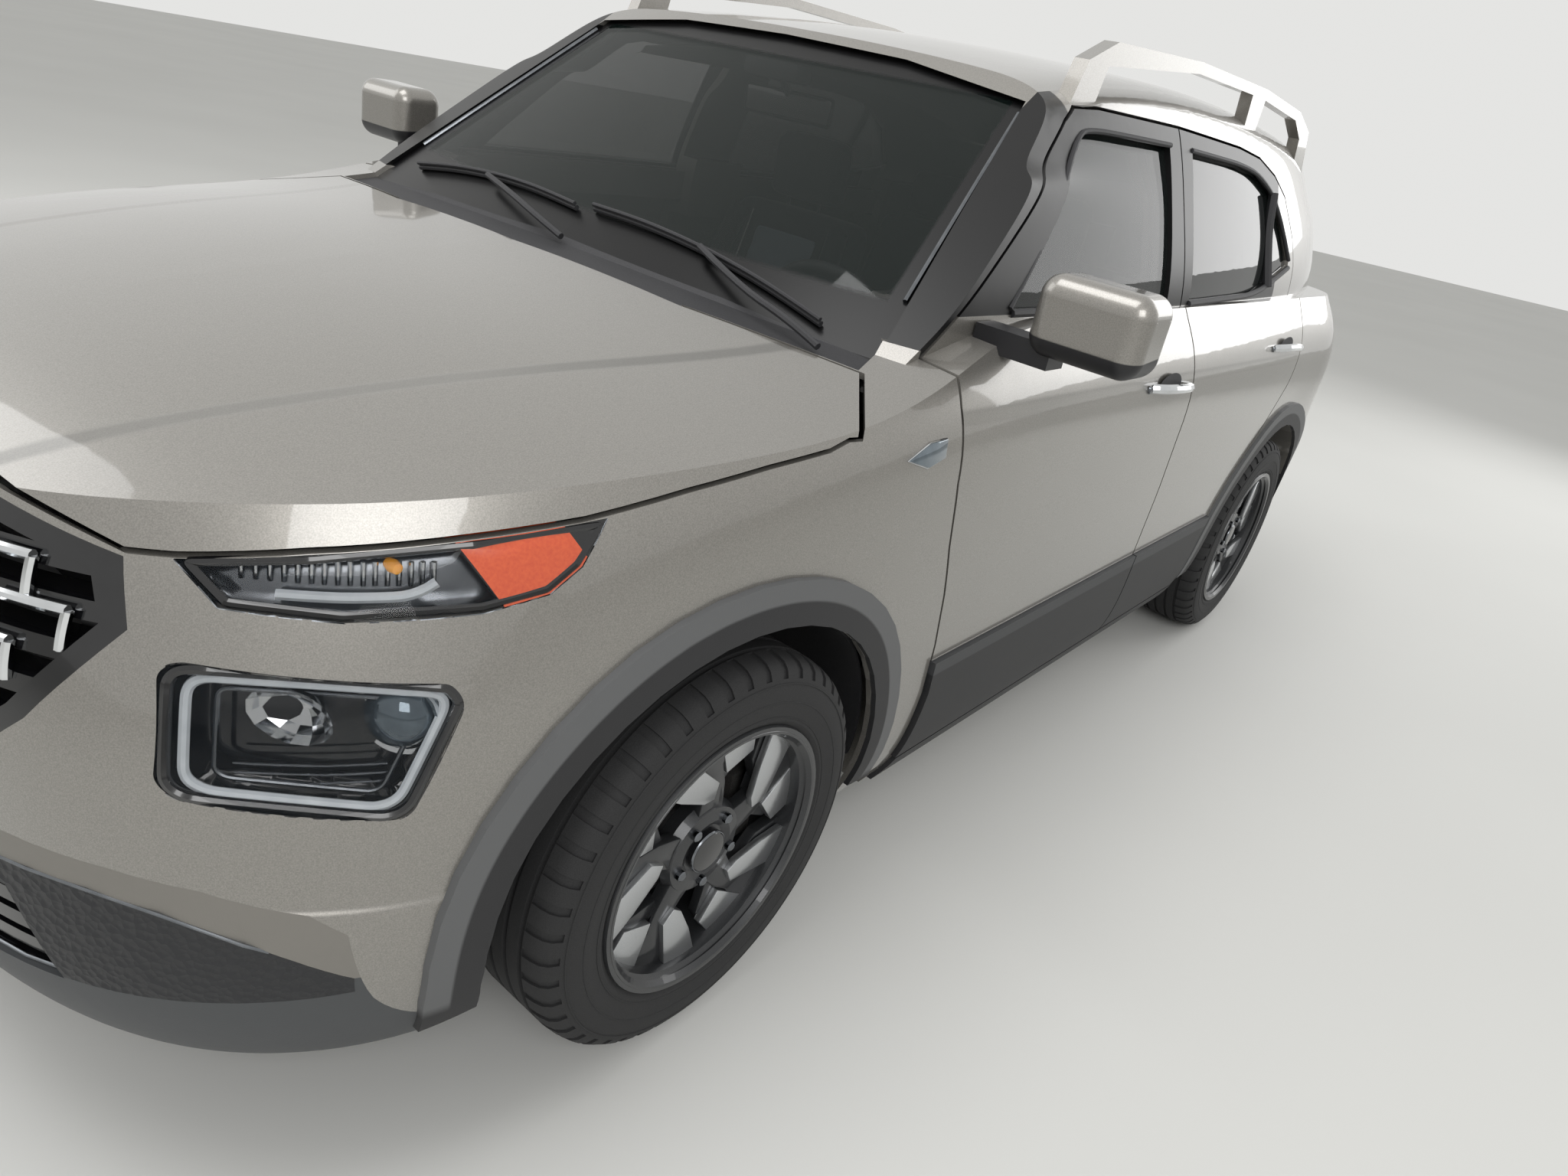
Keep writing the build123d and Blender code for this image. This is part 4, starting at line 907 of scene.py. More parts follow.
upperLook = {
    "outward": (0.50, 0.80, 0.32), "depth": 0.030, "lens": 0.0025,
    "split": (1.556, 0.0, 0.84), "slant": (1.0, 0.0, -0.55),
    "tail": (1.446, 0.0, 0.86), "tailSlant": (1.0, 0.0, -0.6),
    "edge": [(1.789, 0.845), (1.70, 0.858), (1.56, 0.876), (1.44, 0.890), (1.424, 0.891),
             (1.457, 0.851), (1.493, 0.826), (1.562, 0.812), (1.686, 0.805), (1.770, 0.811)],
    "guide": [(1.735, 0.822), (1.70, 0.821), (1.66, 0.822), (1.62, 0.824), (1.600, 0.838)],
    "divider": [(1.541, 0.815), (1.552, 0.834), (1.563, 0.852), (1.572, 0.870)],
    "ribs": 16, "firstRib": 1.60, "ribPitch": 0.0105, "bulb": (1.636, 0.853),
}


def makeUpperLamps():
    look, skin = upperLook, ["upper_lamps"]
    way = Vector(look["outward"]).normalized()
    back, ahead = [-v for v in look["slant"]], [-v for v in look["tailSlant"]]
    bothSides(tray("upper_lamps", "upperLampPan", look["outward"], look["depth"]), darkChrome,
              "body")
    # the lens is cut in three: clear, the orange marker, and a black tail
    for name, cuts, finish, slotName in (
            ("upperLampLens", [(look["split"], look["slant"])], lampLens, "lamp_lens"),
            ("upperLampMarker", [(look["split"], back), (look["tail"], look["tailSlant"])],
             amberLens, "lamp_lens"),
            ("upperLampTail", [(look["tail"], ahead)], glossBlack, "gloss_black")):
        piece = skinCopy("upper_lamps", name, look["outward"])
        for place, side in cuts:
            cutAcross(piece, place, side)
        finishWith(piece, "SOLIDIFY", thickness=look["lens"], offset=-1)
        bothSides(piece, finish, "body")
    bezel = tube("upperLampBezel", loopOn(skin, look["edge"], -0.003, 0.003, 2), 0.0055,
                 closed=True)
    guide = tube("upperLampGuide", sideLine(skin, look["guide"], -0.012), 0.0060)
    wall = tube("upperLampDivider", sideLine(skin, look["divider"], -0.004), 0.0040)
    ribs = []
    for i in range(look["ribs"]):
        for root in sideLine(skin, [(look["firstRib"] + i * look["ribPitch"], 0.846)], -0.024):
            ends = [root + Vector((0, 0, rise)) for rise in (-0.014, 0.014)]
            ribs.append(tube("reflectorRib%d" % i, ends, 0.0030, smooth=False))
    bulb = turned("markerBulb", [(-0.010, 0.006), (0.0, 0.008), (0.008, 0.006), (0.011, 0.0)], 20)
    bulb.data.transform(Matrix.Translation(onSide(skin, *look["bulb"])[0] - way * 0.016))
    for piece, finish, slotName in (
            (bezel, glossBlack, "gloss_black"), (guide, guidePlastic, "lamp_lens"),
            (wall, glossBlack, "gloss_black"),
            (joined("reflectorRibs", *ribs), chrome, "wheel_alloy"),
            (bulb, bulbGlass, "lamp_lens")):
        bothSides(piece, finish, "body")
    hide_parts("upper_lamps")


makeUpperLamps()
print("lamps made")

# the CAD nose at six heights: height, half width, reach on X, and the power of its curve
noseRoot, noseRound = 0.350, 2.35
noseLevels = [(0.26, 0.826, 1.990, 8.5), (0.40, 0.852, 2.014, 7.5), (0.56, 0.860, 2.020, 6.5),
              (0.70, 0.866, 2.010, 5.4), (0.83, 0.868, 1.985, 4.3), (0.92, 0.864, 1.950, 3.6)]


def noseAt(y, z, lift=0.0):
    for (z0, w0, n0, p0), (z1, w1, n1, p1) in zip(noseLevels, noseLevels[1:]):
        if z <= z1:
            break
    t = (z - z0) / (z1 - z0)
    width, nose, power = w0 + (w1 - w0) * t, n0 + (n1 - n0) * t, p0 + (p1 - p0) * t
    inner = (1 - (abs(y) / width) ** noseRound) ** (1 / power)
    return Vector((noseRoot + (nose + lift - noseRoot) * inner, y, z))


grilleLook = {"columns": 0.090, "rows": [0.602, 0.646, 0.690, 0.734, 0.778, 0.822],
              "length": 0.070, "drop": 0.041, "bar": 0.0062, "shortest": 0.03}
grilleMouth = [(0.868, 0.0), (0.857, 0.390), (0.826, 0.528), (0.774, 0.550), (0.674, 0.492),
               (0.592, 0.414), (0.573, 0.0)]


def mouthWidth(z):
    # half the width of the grille's mouth at a height
    for (z1, w1), (z0, w0) in zip(grilleMouth[1:], grilleMouth[2:]):
        if z0 <= z <= z1:
            return w0 + (w1 - w0) * (z - z0) / (z1 - z0)
    return 0.0


def makeGrilleTrim():
    # chrome brackets in staggered rows, each a bar with a stem hanging from its outer end
    look = grilleLook
    bars = []
    for row, z in enumerate(look["rows"]):
        reach = mouthWidth(z) - 0.022
        stemFoot = z - look["drop"]
        for k in range(-7, 8):
            start = (k + (0.5 if row % 2 else 0.0)) * look["columns"]
            low, high = max(start, -reach), min(start + look["length"], reach)
            if high - low < look["shortest"] or stemFoot < grilleMouth[-1][0]:
                continue
            run = [low + (high - low) * i / 4 for i in range(5)]
            bars.append(tube("grilleBar", [noseAt(y, z, -0.004) for y in run], look["bar"]))
            side = high if k >= 0 else low
            if abs(side) < mouthWidth(stemFoot) - 0.006:
                bars.append(tube("grilleStem", [
                    noseAt(side, z, -0.004), noseAt(side, z - look["drop"] * 0.5, -0.005),
                    noseAt(side, stemFoot, -0.009)], look["bar"]))
    dress(joined("grilleBrackets", *bars), chrome, "body")
    # a fine line round the dark insert of the lower nose
    look = valanceLook
    end, bend, lift = look["end"], look["bend"], 0.0005
    top = [noseAt(y, look["top"] - look["fall"] * max(0, (abs(y) - bend) / (end - bend)) ** 3,
                  lift) for y in [-end + end / 12 * i for i in range(25)]]
    foot = [noseAt(y, look["foot"] + look["rise"] * abs(y), lift)
            for y in [end - end / 8 * i for i in range(17)]]
    line = tube("intakeLine", top + foot, 0.0024, closed=True, smooth=False)
    dress(line, darkChrome, "body")


makeGrilleTrim()
print("nose trim made")


handleLook = {"front": (-0.140, 0.940), "rear": (-1.050, 0.972), "reach": 0.095, "lift": 0.030,
              "radius": 0.0105, "keyhole": (0.118, 0.0, 0.004)}


def makeHandles():
    look = handleLook
    # the grip stands off the door between two feet
    lifts = ((-1.0, -0.002), (-0.86, 0.020), (-0.5, look["lift"]), (0.0, look["lift"] + 0.002),
             (0.5, look["lift"]), (0.86, 0.020), (1.0, -0.002))
    for end in ("front", "rear"):
        door = "door_%s_left" % end
        x, z = look[end]
        points = []
        for share, lift in lifts:
            points += sideLine([door], [(x + share * look["reach"], z + 0.004 * share)], lift)
        grip = tube("doorHandle" + end.title(), points, look["radius"])
        # a shallow bowl for the fingers
        spot = onSide([door], x, z)[0]
        cup = turned("handleCup" + end.title(), [
            (0.0012, 0.040), (0.0014, 0.036), (0.0010, 0.020), (0.0008, 0.0)], 32)
        cup.data.transform(Matrix.Translation(spot) @ Matrix.Diagonal((1.75, 1.0, 0.8, 1)))
        barrel = turned("keyBarrel" + end.title(), [
            (0.0, 0.0085), (0.004, 0.0080), (0.005, 0.0065), (0.005, 0.0)], 20)
        barrel.data.transform(Matrix.Translation(spot + Vector(look["keyhole"])))
        bothSides(grip, chrome, door)
        bothSides(cup, darkAbs, door)
        bothSides(barrel, darkChrome, door)


makeHandles()

mouldingLook = {
    "seal": 0.0055, "belt": 0.0075, "post": 0.013,
    "beltStripFront": [(0.50, 1.094), (0.30, 1.094), (0.05, 1.094), (-0.20, 1.094)],
    "beltStripRear": [(-0.34, 1.094), (-0.60, 1.098), (-0.86, 1.101), (-1.05, 1.134),
                      (-1.214, 1.166)],
    "windowSealFront": [(0.508, 1.102), (0.360, 1.242), (0.208, 1.389), (0.150, 1.402),
                        (-0.02, 1.405), (-0.209, 1.407)],
    "windowSealRear": [(-0.334, 1.407), (-0.52, 1.405), (-0.70, 1.403), (-0.883, 1.390),
                       (-1.094, 1.322), (-1.223, 1.186)],
    "quarterPost": [(-0.985, 1.120), (-0.990, 1.20), (-0.998, 1.28), (-1.010, 1.352)],
}


def makeMouldings():
    # rubber belt strips under the side windows, and a seal round each opening
    look = mouldingLook
    for word, radius in (("beltStrip", look["belt"]), ("windowSeal", look["seal"])):
        for end in ("Front", "Rear"):
            door = "door_%s_left" % end.lower()
            strip = tube(word + end, sideLine([door], look[word + end], 0.0), radius)
            bothSides(strip, darkAbs, door)
    # the upright between the rear pane and the fixed quarter pane
    post = []
    for x, z in look["quarterPost"]:
        found = onSide(["glass_rear_left"], x, z) or onSide(["door_rear_left"], x, z)
        post.append(found[0] + Vector((0, 0.004, 0)))
    bothSides(tube("quarterPost", post, look["post"]), darkAbs, "door_rear_left")


makeMouldings()


def makeWingLamp():
    outline = [(0.902, 0.918), (0.846, 0.938), (0.802, 0.940), (0.806, 0.912), (0.850, 0.902)]
    points = sideLine(["front_fenders"], outline, 0.0008)
    outward = onSide(["front_fenders"], *outline[0])[1]
    lens = plate("wingLamp", points, outward * 0.0045, 0.0016)
    rim = tube("wingLampRim", points, 0.0022, closed=True, smooth=False)
    bothSides(lens, projectorGlass, "body")
    bothSides(rim, chrome, "body")


makeWingLamp()

# the mirror's foot is black moulded ABS below a line that falls towards the front
mirrorLook = {"edge": 1.159, "fall": 0.10, "black": "#17171A"}


def makeMirrors():
    look = mirrorLook
    material, tree, shader, place, bump = silverPaint("silverMirrorCap")
    axes = splitAxes(tree, place)
    level = addNode(tree, "ShaderNodeMath", {"operation": "MULTIPLY_ADD", 1: look["fall"]},
                    {0: axes["X"], 2: axes["Z"]})
    step = addNode(tree, "ShaderNodeMapRange",
                   {"From Min": look["edge"], "From Max": look["edge"] + 0.002},
                   {"Value": level.outputs[0]})
    black = addNode(tree, "ShaderNodeBsdfPrincipled", {"Base Color": linear(look["black"]),
                                                       "Roughness": 0.4})
    noise = addNode(tree, "ShaderNodeTexNoise", {"Scale": 450.0},
                    {"Vector": place.outputs["Object"]})
    rough = addNode(tree, "ShaderNodeBump", {"Strength": 0.4, "Distance": 0.0002},
                    {"Height": noise.outputs["Fac"]})
    tree.links.new(rough.outputs["Normal"], black.inputs["Normal"])
    layOver(tree, step, black, shader)
    for side in ("left", "right"):
        for spot in nodes["mirror_" + side].material_slots:
            spot.material = material
    glass = plate("mirrorGlass", [(0.5262, y, z) for y, z in (
        (0.882, 1.098), (0.886, 1.160), (0.905, 1.172), (1.000, 1.168), (1.018, 1.150),
        (1.016, 1.100), (0.998, 1.088), (0.900, 1.088))], (-0.0030, 0, 0), 0.001)
    bothSides(glass, silvering, "door_front_left")


makeMirrors()
print("side trim made")

wiperLook = {"Driver": (0.585, 0.02, 0.800, 0.790), "Passenger": (-0.020, -0.560, 0.800, 0.775),
             "bow": 0.03, "steps": 6}


def onScreen(x, y, lift):
    found = onSurface(["windscreen", "cowl_panel"], (x, y, outside["above"]), (0, 0, -1))
    return found[0] + found[1] * lift


def makeWipers():
    # each wiper: the blade's ends across the screen, and their places on X
    look = wiperLook
    steps = look["steps"]
    for name in ("Driver", "Passenger"):
        pivotY, tipY, x0, x1 = look[name]
        run = [(x0 + (x1 - x0) * i / steps - look["bow"] * (i / steps) * (1 - i / steps),
                pivotY + (tipY - pivotY) * i / steps) for i in range(steps + 1)]
        blade = tube("wiperBlade" + name, [onScreen(x, y, 0.006) for x, y in run], 0.0055)
        spine = tube("wiperSpine" + name, [onScreen(x, y, 0.016) for x, y in run], 0.0040)
        middle = (pivotY + tipY) / 2
        arm = tube("wiperArm" + name, [
            onScreen(0.868, pivotY + 0.05, 0.016), onScreen(0.858, pivotY - 0.02, 0.030),
            onScreen(0.830, (pivotY + middle) / 2, 0.034), onScreen(0.792, middle, 0.022)],
            0.0062)
        for piece in (blade, spine, arm):
            dress(piece, darkAbs, "body")


makeWipers()


def makeScreenTrim():
    # bright mouldings down the screen's sides, and the sensor housing and mirror inside it
    edge = []
    for x, y in ((0.842, 0.694), (0.70, 0.668), (0.56, 0.634), (0.42, 0.600), (0.310, 0.574)):
        found = onSurface(["windscreen"], (x, y, outside["above"]), (0, 0, -1))
        if found:
            edge.append(found[0] + found[1] * 0.003)
    bothSides(tube("screenMoulding", edge, 0.0045), darkChrome, "body")
    housing = box("sensorHousing", (0.285, -0.075, 1.373), (0.345, 0.075, 1.413), 0.012)
    stalk = tube("insideMirrorStalk", [(0.300, 0, 1.380), (0.275, 0, 1.365), (0.262, 0, 1.345)],
                 0.008)
    back = box("insideMirror", (0.250, -0.120, 1.300), (0.272, 0.120, 1.362), 0.010, 3)
    dress(housing, cabinAbs, "body")
    dress(stalk, cabinAbs, "body")
    dress(back, glossBlack, "body")


makeScreenTrim()

# the windscreen pillar is silver like the rest of the side; its dark reflection is painted on it as
# satin black
pillarReflectionLook = {"ahead": 0.218, "above": 1.018, "black": "#0C0C0D"}


def paintPillarReflection():
    look = pillarReflectionLook
    material, tree, shader, place, bump = silverPaint("silverSidePaintedReflectionPillar")
    axes = splitAxes(tree, place)
    ahead = addNode(tree, "ShaderNodeMapRange",
                    {"From Min": look["ahead"], "From Max": look["ahead"] + 0.004},
                    {"Value": axes["X"]})
    high = addNode(tree, "ShaderNodeMapRange",
                   {"From Min": look["above"], "From Max": look["above"] + 0.002},
                   {"Value": axes["Z"]})
    mask = addNode(tree, "ShaderNodeMath", {"operation": "MULTIPLY"},
                   {0: ahead.outputs[0], 1: high.outputs[0]})
    # satin black over the silver pillar: a painted dark reflection
    black = addNode(tree, "ShaderNodeBsdfPrincipled", {
        "Base Color": linear(look["black"]), "Roughness": 0.3, "Specular IOR Level": 0.35})
    layOver(tree, mask, shader, black)
    for spot in nodes["body_sides"].material_slots:
        spot.material = material


paintPillarReflection()
print("windscreen trim made")


# seats: foam pads in woven cover, each its own padded piece, with seams laid over them
seatLook = {"y": 0.365, "voxel": 0.014, "seam": 0.0022, "roll": 0.030}


def pad(name, outline, lowY, highY, crown, corner):
    # a side profile given a width, rounded, divided and swelled out between its seams
    piece = plate(name, [(x, lowY, z) for x, z in outline], (0, highY - lowY, 0))
    finishWith(piece, "BEVEL", width=corner, segments=3)
    finishWith(piece, "REMESH", mode="VOXEL", voxel_size=seatLook["voxel"])
    focus(piece)
    middleY, halfY = (lowY + highY) / 2, (highY - lowY) / 2
    centre = Vector((sum(p[0] for p in outline) / len(outline), middleY,
                     sum(p[1] for p in outline) / len(outline)))
    reach = max((Vector((x, middleY, z)) - centre).length for x, z in outline)
    for vertex in piece.data.vertices:
        away = vertex.co - centre
        across = 1 - min(1, abs(away.y) / halfY) ** 2
        along = 1 - min(1, Vector((away.x, 0, away.z)).length / reach) ** 2
        flat = Vector((away.x, away.y * 0.3, away.z)).normalized()
        vertex.co += flat * crown * across * (0.4 + 0.6 * along)
    finishWith(piece, "SMOOTH", factor=0.5, iterations=6)
    finishWith(piece, "SUBSURF", levels=1, render_levels=1)
    return piece


def overPad(piece, starts, way):
    # points on a pad's surface, where rays from the starts meet it
    tree = BVHTree.FromPolygons([v.co for v in piece.data.vertices],
                                [f.vertices for f in piece.data.polygons])
    met = [tree.ray_cast(Vector(start), Vector(way))[:2] for start in starts]
    return [place + normal * 0.0006 for place, normal in met if place]


def layPads(rows):
    # pads of one seat: name, finish, fill, outline, low and high Y, crown and corner
    made = []
    for name, finish, fill, *shape in rows:
        piece = pad(name, *shape)
        made.append(dress(piece, finish, "body", 60))
    return made


def makeFrontSeats():
    y = seatLook["y"]
    cushion = pad("seatCushion", [(-0.190, 0.385), (-0.200, 0.495), (0.050, 0.508), (0.315, 0.538),
                                  (0.335, 0.445), (0.200, 0.385)], y - 0.240, y + 0.240, 0.012,
                  0.036)
    back = pad("seatBack", [(-0.110, 0.455), (-0.205, 0.760), (-0.298, 1.060), (-0.385, 1.058),
                            (-0.325, 0.760), (-0.245, 0.440)], y - 0.228, y + 0.228, 0.010, 0.034)
    headrest = pad("seatHeadrest", [(-0.300, 1.085), (-0.296, 1.225), (-0.318, 1.255),
                                    (-0.362, 1.258), (-0.376, 1.225), (-0.378, 1.085)],
                   y - 0.118, y + 0.118, 0.006, 0.028)
    # raised side rolls and white seams down both sides of the cushion and back, and the posts
    rolls, seams, posts = [], [], []
    for sign in (-1, 1):
        for name, line in (("cushionRoll", ((-0.150, 0.205, 0.505), (0.02, 0.212, 0.527),
                                            (0.18, 0.212, 0.538), (0.292, 0.200, 0.530))),
                           ("backRoll", ((-0.135, 0.190, 0.560), (-0.165, 0.200, 0.720),
                                         (-0.222, 0.196, 0.900), (-0.272, 0.180, 1.030)))):
            rolls.append(tube(name, [(x, y + sign * out, z) for x, out, z in line],
                              seatLook["roll"]))
        seams.append(tube("cushionSeam", overPad(cushion, [
            (x, y + sign * 0.158, 0.75) for x in (-0.10, 0.0, 0.10, 0.20, 0.29)], (0, 0, -1)),
            seatLook["seam"]))
        seams.append(tube("backSeam", overPad(back, [
            (0.2, y + sign * 0.145, z) for z in (0.58, 0.70, 0.82, 0.94, 1.03)], (-1, 0, 0)),
            seatLook["seam"]))
        posts.append(tube("headrestPost", [(-0.335, y + sign * 0.055, 1.050),
                                           (-0.334, y + sign * 0.055, 1.100)], 0.006))
    # pale inserts down the middle of cushion and back
    cushionInsert = pad("cushionInsert", [(-0.120, 0.494), (-0.120, 0.509), (0.060, 0.519),
                                          (0.290, 0.545), (0.290, 0.528), (0.060, 0.500)],
                        y - 0.135, y + 0.135, 0.004, 0.006)
    backInsert = pad("backInsert", [(-0.133, 0.560), (-0.196, 0.760), (-0.272, 1.000),
                                    (-0.287, 0.998), (-0.214, 0.760), (-0.150, 0.560)],
                     y - 0.120, y + 0.120, 0.004, 0.006)
    base = box("seatBase", (-0.130, y - 0.190, 0.2505), (0.228, y + 0.190, 0.388), 0.012)
    lever = tube("seatRecliner", [(-0.185, y + 0.243, 0.452), (-0.150, y + 0.246, 0.470),
                                  (-0.060, y + 0.246, 0.452), (0.060, y + 0.243, 0.440)], 0.016)
    for piece, finish, fill in (
            (cushion, darkFabric, 0.7), (back, darkFabric, 0.7), (headrest, darkFabric, 0.8),
            (joined("seatRolls", *rolls), darkFabric, 0.8), (cushionInsert, paleFabric, 0.6),
            (backInsert, paleFabric, 0.6)):
        for one in bothSides(piece, finish, "body", 60):
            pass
    bothSides(joined("seatSeams", *seams), threadWhite, "body")
    bothSides(joined("headrestPosts", *posts), chrome, "body")
    bothSides(base, cabinAbs, "body")
    bothSides(lever, cabinAbs, "body")
    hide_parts("front_seats")


def makeRearSeat():
    backOutline = [(-0.865, 0.520), (-0.950, 0.780), (-1.040, 1.045), (-1.118, 1.045),
                   (-1.060, 0.780), (-0.985, 0.545)]
    restOutline = [(-1.044, 1.056), (-1.042, 1.170), (-1.060, 1.198), (-1.095, 1.200),
                   (-1.112, 1.170), (-1.116, 1.056)]
    stripOutline = [(-0.876, 0.545), (-0.955, 0.780), (-1.030, 0.990), (-1.045, 0.988),
                    (-0.972, 0.780), (-0.893, 0.545)]
    flatOutline = [(-0.860, 0.483), (-0.860, 0.499), (-0.700, 0.508), (-0.530, 0.520),
                   (-0.530, 0.503)]
    rows = [("rearBench", darkFabric, 0.7, [(-0.935, 0.425), (-0.940, 0.485), (-0.700, 0.496),
                                            (-0.490, 0.512), (-0.488, 0.425)],
             -0.602, 0.602, 0.010, 0.026),
            ("rearBackLeft", darkFabric, 0.7, backOutline, 0.012, 0.568, 0.010, 0.030),
            ("rearBackRight", darkFabric, 0.7, backOutline, -0.568, -0.012, 0.010, 0.030)]
    rows += [("rearHeadrest%d" % i, darkFabric, 0.8, restOutline, y - 0.112, y + 0.112, 0.005,
              0.024) for i, y in enumerate((-0.370, 0.0, 0.370))]
    for i, y in enumerate((-0.335, 0.335)):
        rows += [("rearInsert%d" % i, paleFabric, 0.6, stripOutline, y - 0.150, y + 0.150, 0.004,
                  0.006),
                 ("rearCushionInsert%d" % i, paleFabric, 0.6, flatOutline, y - 0.150, y + 0.150,
                  0.004, 0.006)]
    bench = layPads(rows)[0]
    base = plate("rearSeatBase", [(-0.930, -0.560, 0.362), (-0.560, -0.560, 0.362),
                                  (-0.560, -0.560, 0.424), (-0.930, -0.560, 0.424)],
                 (0, 1.120, 0), 0.006)
    feet = [box("rearSeatFoot", (-0.930, low, 0.2505), (-0.560, high, 0.364), 0.006)
            for low, high in ((-0.560, -0.114), (0.114, 0.560))]
    dress(joined("rearSeatBase", base, *feet), cabinAbs, "body")
    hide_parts("rear_seat")


makeFrontSeats()
makeRearSeat()
print("seats made")

# dashboard fittings: the vents stand across its face, and the lever's knob on the console
dashLook = {"vents": (-0.560, -0.160, 0.150, 0.585), "ventX": 0.5160, "ventZ": 0.915,
            "slats": (-0.014, 0.0, 0.014), "lever": (0.300, 0.0, 0.625)}


def makeDashTrim():
    look = dashLook
    hood = plate("instrumentHood", [(0.605, 0.215, 0.972), (0.540, 0.215, 0.975),
                                    (0.520, 0.215, 1.000), (0.560, 0.215, 1.022),
                                    (0.640, 0.215, 1.018)], (0, 0.300, 0), 0.010)
    dial = plate("instrumentFace", [(0.5375, 0.235, 0.968), (0.5375, 0.495, 0.968),
                                    (0.5245, 0.490, 1.004), (0.5245, 0.240, 1.004)],
                 (0.004, 0, 0), 0.001)
    screen = plate("centreScreen", [(0.505, -0.105, 0.880), (0.505, 0.105, 0.880),
                                    (0.520, 0.108, 1.000), (0.520, -0.108, 1.000)],
                   (0.016, 0, 0), 0.003)
    x, z = look["ventX"], look["ventZ"]
    vents = []
    for y in look["vents"]:
        rim = [(x, y + out, z + rise) for out, rise in (
            (-0.055, -0.026), (0.055, -0.026), (0.055, 0.026), (-0.055, 0.026))]
        vents.append(tube("ventFrame", rim, 0.0032, closed=True, smooth=False))
        for rise in look["slats"]:
            slat = [(x + 0.0015, y + out, z + rise) for out in (-0.050, 0.050)]
            vents.append(tube("ventSlat", slat, 0.0028, smooth=False))
    lever = tube("gearLever", [(0.300, 0.0, 0.520), (0.298, 0.0, 0.580), (0.300, 0.0, 0.640)],
                 0.009)
    knob = turned("gearKnob", [(0.0, 0), (0.004, 0.018), (0.022, 0.024), (0.044, 0.022),
                               (0.056, 0.012), (0.058, 0)], 28, axis="Z")
    knob.data.transform(Matrix.Translation(look["lever"]))
    for piece, finish, slotName in (
            (hood, cabinAbs, "cabin_plastic"), (dial, glossBlack, "gloss_black"),
            (screen, glossBlack, "gloss_black"),
            (joined("airVents", *vents), darkChrome, "cabin_plastic"),
            (lever, darkChrome, "cabin_plastic"), (knob, leather, "cabin_plastic")):
        dress(piece, finish, "body")


makeDashTrim()

steeringLook = {"centre": (0.430, 0.365, 0.905), "tilt": 25}


def makeWheelTrim():
    # the horn pad and a stitched ring sit on the steering wheel's near side
    tilt = math.radians(steeringLook["tilt"])
    toward = Vector((-math.cos(tilt), 0, math.sin(tilt)))
    turn = Vector((0, 0, 1)).rotation_difference(toward).to_matrix().to_4x4()
    hornPad = turned("hornPad", [(0.012, 0), (0.012, 0.062), (0.022, 0.064), (0.034, 0.054),
                                 (0.040, 0.030), (0.041, 0)], 40, axis="Z")
    ring = turned("wheelStitching", [(0.0015, 0.1665), (0.0, 0.1660), (-0.0015, 0.1665),
                                     (0.0, 0.1675)], 72, closed=True, axis="Z")
    for piece, finish in ((hornPad, cabinAbs), (ring, threadWhite)):
        piece.data.transform(Matrix.Translation(steeringLook["centre"]) @ turn)
        dress(piece, finish, "steering_wheel")


makeWheelTrim()
print("dashboard trim made")

# tail: spoiler lip, blank plate, handle, red band, wiper and reflectors
tailLook = {"plate": ((-0.26, 0.735), (0.26, 0.735), (0.26, 0.860), (-0.26, 0.860)),
            "handle": 0.915, "band": 0.985, "wiper": 1.155, "pivot": (0.02, 1.085),
            "reflector": 0.455}


def tailAt(y, z, lift=0.0, names=("tailgate", "rear_bumper", "tailgate_glass")):
    place, normal = onSurface(names, (outside["behind"], y, z), (1, 0, 0))
    return place + normal * lift


def makeTail():
    look = tailLook
    lip = tube("spoilerLip", [tailAt(y, 1.452 - 0.02 * y * y, 0.004) + Vector((-0.006, 0, 0))
                              for y in [-0.50 + 0.125 * i for i in range(9)]], 0.013)
    dress(lip, bodyPaint, "tailgate")
    corners = [tailAt(y, z, 0.003) for y, z in look["plate"]]
    blank = plate("blankPlate", corners, (-0.003, 0, 0), 0.001)
    dress(blank, plateAlloy, "tailgate")
    surround = tube("plateSurround", [p + Vector((-0.002, 0, 0)) for p in corners], 0.005,
                    closed=True, smooth=False)
    dress(surround, darkAbs, "tailgate")
    handle = tube("tailgateHandle", [tailAt(y, look["handle"], 0.010) for y in
                                     (-0.24, -0.12, 0.0, 0.12, 0.24)], 0.0095)
    dress(handle, chrome, "tailgate")
    band = tube("tailgateBand", [tailAt(y, look["band"], 0.001) for y in
                                 (-0.56, -0.4, -0.2, 0.0, 0.2, 0.4, 0.56)], 0.006)
    dress(band, redLens, "tailgate")
    wiperZ = look["wiper"]
    blade = tube("rearWiperBlade", [tailAt(y, wiperZ + 0.01 * y, 0.007, ("tailgate_glass",))
                                    for y in (-0.30, -0.2, -0.1, 0.0, 0.08)], 0.0048)
    arm = tube("rearWiperArm", [tailAt(*look["pivot"], 0.018), tailAt(-0.02, 1.12, 0.024),
                                tailAt(-0.10, wiperZ, 0.018)], 0.007)
    knob = turned("rearWiperPivot", [(0, 0.018), (-0.016, 0.016), (-0.026, 0.012), (-0.028, 0.0)],
                  24, axis="X")
    knob.data.transform(Matrix.Translation(tailAt(*look["pivot"], -0.002)))
    for piece in (blade, arm, knob):
        dress(piece, darkAbs, "tailgate")
    for name, sign in (("rearReflectorRight", -1), ("rearReflectorLeft", 1)):
        strip = tube(name, [tailAt(sign * y, look["reflector"], 0.002, ("rear_bumper",))
                            for y in (0.50, 0.56, 0.62, 0.66)], 0.011)
        dress(strip, redLens, "body")


makeTail()
print("tail trim made")


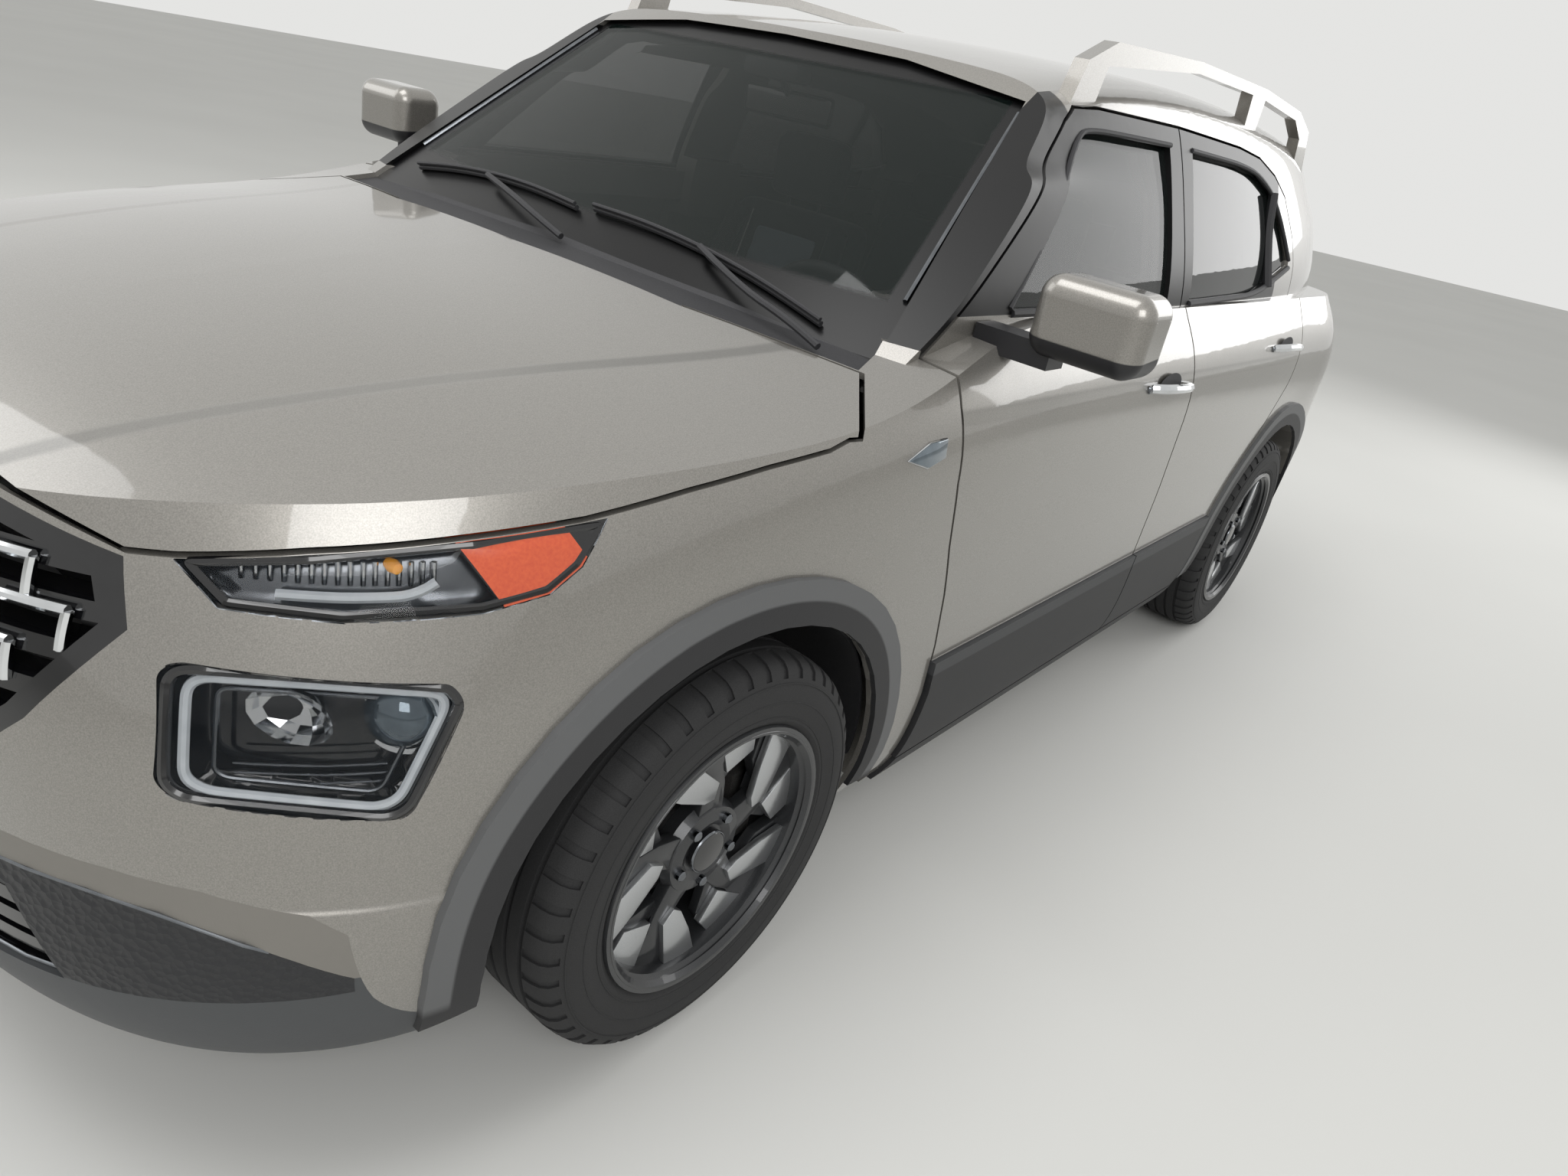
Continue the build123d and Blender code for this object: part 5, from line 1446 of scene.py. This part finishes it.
def addFloor():
    bpy.ops.mesh.primitive_plane_add(size=60, location=(0, 0, -0.0005))
    floor = bpy.context.object
    floor.name = "paleFloor"
    material, tree, shader = newFinish("paleStudioFloor", "#CFCFCC", 0.75)
    place = addNode(tree, "ShaderNodeTexCoord")
    noise = addNode(tree, "ShaderNodeTexNoise", {"Scale": 0.6}, {"Vector": place.outputs["Object"]})
    ramp = addNode(tree, "ShaderNodeValToRGB", links={"Fac": noise.outputs["Fac"]})
    setRamp(ramp, "#C9C9C6", "#D3D3D0")
    tree.links.new(ramp.outputs["Color"], shader.inputs["Base Color"])
    floor.data.materials.append(material)


# what lights the car, and what the camera, gloss and glass see behind it
studioLook = {"ambient": 0.66, "background": 0.84, "white": "#F7F7F5", "aim": (0.2, 0, 0.6)}


def addWorld():
    world = bpy.data.worlds.new("paleStudio")
    bpy.context.scene.world = world
    world.use_nodes = True
    tree = world.node_tree
    shade = tree.nodes["Background"]
    rays = addNode(tree, "ShaderNodeLightPath")
    sharp = addNode(tree, "ShaderNodeMath", {"operation": "MAXIMUM"},
                    {0: rays.outputs["Is Glossy Ray"], 1: rays.outputs["Is Transmission Ray"]})
    seen = addNode(tree, "ShaderNodeMath", {"operation": "MAXIMUM"},
                   {0: rays.outputs["Is Camera Ray"], 1: sharp.outputs[0]})
    level = addNode(tree, "ShaderNodeMapRange",
                    {"To Min": studioLook["ambient"], "To Max": studioLook["background"]},
                    {"Value": seen.outputs[0]})
    shade.inputs["Color"].default_value = linear(studioLook["white"])
    tree.links.new(level.outputs[0], shade.inputs["Strength"])


# place, size and power of each area lamp
lamps = {
    "keyLight": ((4.5, 5.0, 4.5), 3.5, 190),
    "fillLight": ((3.5, -5.0, 4.0), 4.0, 90),
    "roofLight": ((2.2, -0.4, 5.6), 3.0, 120),
    "backLight": ((-6.0, 2.5, 3.5), 4.0, 110),
}


def addLamps():
    for name, (place, size, power) in lamps.items():
        bpy.ops.object.light_add(type="AREA", location=place)
        lamp = bpy.context.object
        lamp.name = name
        lamp.data.size = size
        lamp.data.energy = power
        aim = Vector(studioLook["aim"]) - Vector(place)
        lamp.rotation_euler = aim.to_track_quat("-Z", "Y").to_euler()


viewpoint = {"place": (2.201, 1.582, 1.374), "yaw": -145.50, "pitch": -25.17, "roll": 11.885,
             "lens": 24.215, "sensor": 36.0}


def addCamera():
    yaw, pitch, roll = (math.radians(viewpoint[key]) for key in ("yaw", "pitch", "roll"))
    ahead = Vector((math.cos(pitch) * math.cos(yaw), math.cos(pitch) * math.sin(yaw),
                    math.sin(pitch)))
    level = ahead.cross(Vector((0, 0, 1))).normalized()
    upright = level.cross(ahead)
    right = math.cos(roll) * level + math.sin(roll) * upright
    up = -math.sin(roll) * level + math.cos(roll) * upright
    bpy.ops.object.camera_add()
    camera = bpy.context.object
    camera.name = "viewCamera"
    camera.data.lens = viewpoint["lens"]
    camera.data.sensor_width = viewpoint["sensor"]
    camera.data.clip_start = 0.02
    turn = Matrix((right, up, -ahead)).transposed().to_4x4()
    camera.matrix_world = Matrix.Translation(viewpoint["place"]) @ turn
    bpy.context.scene.camera = camera


addFloor()
addWorld()
addLamps()
addCamera()
bpy.context.scene.view_settings.view_transform = "Standard"
print("stage, lamps and camera set")
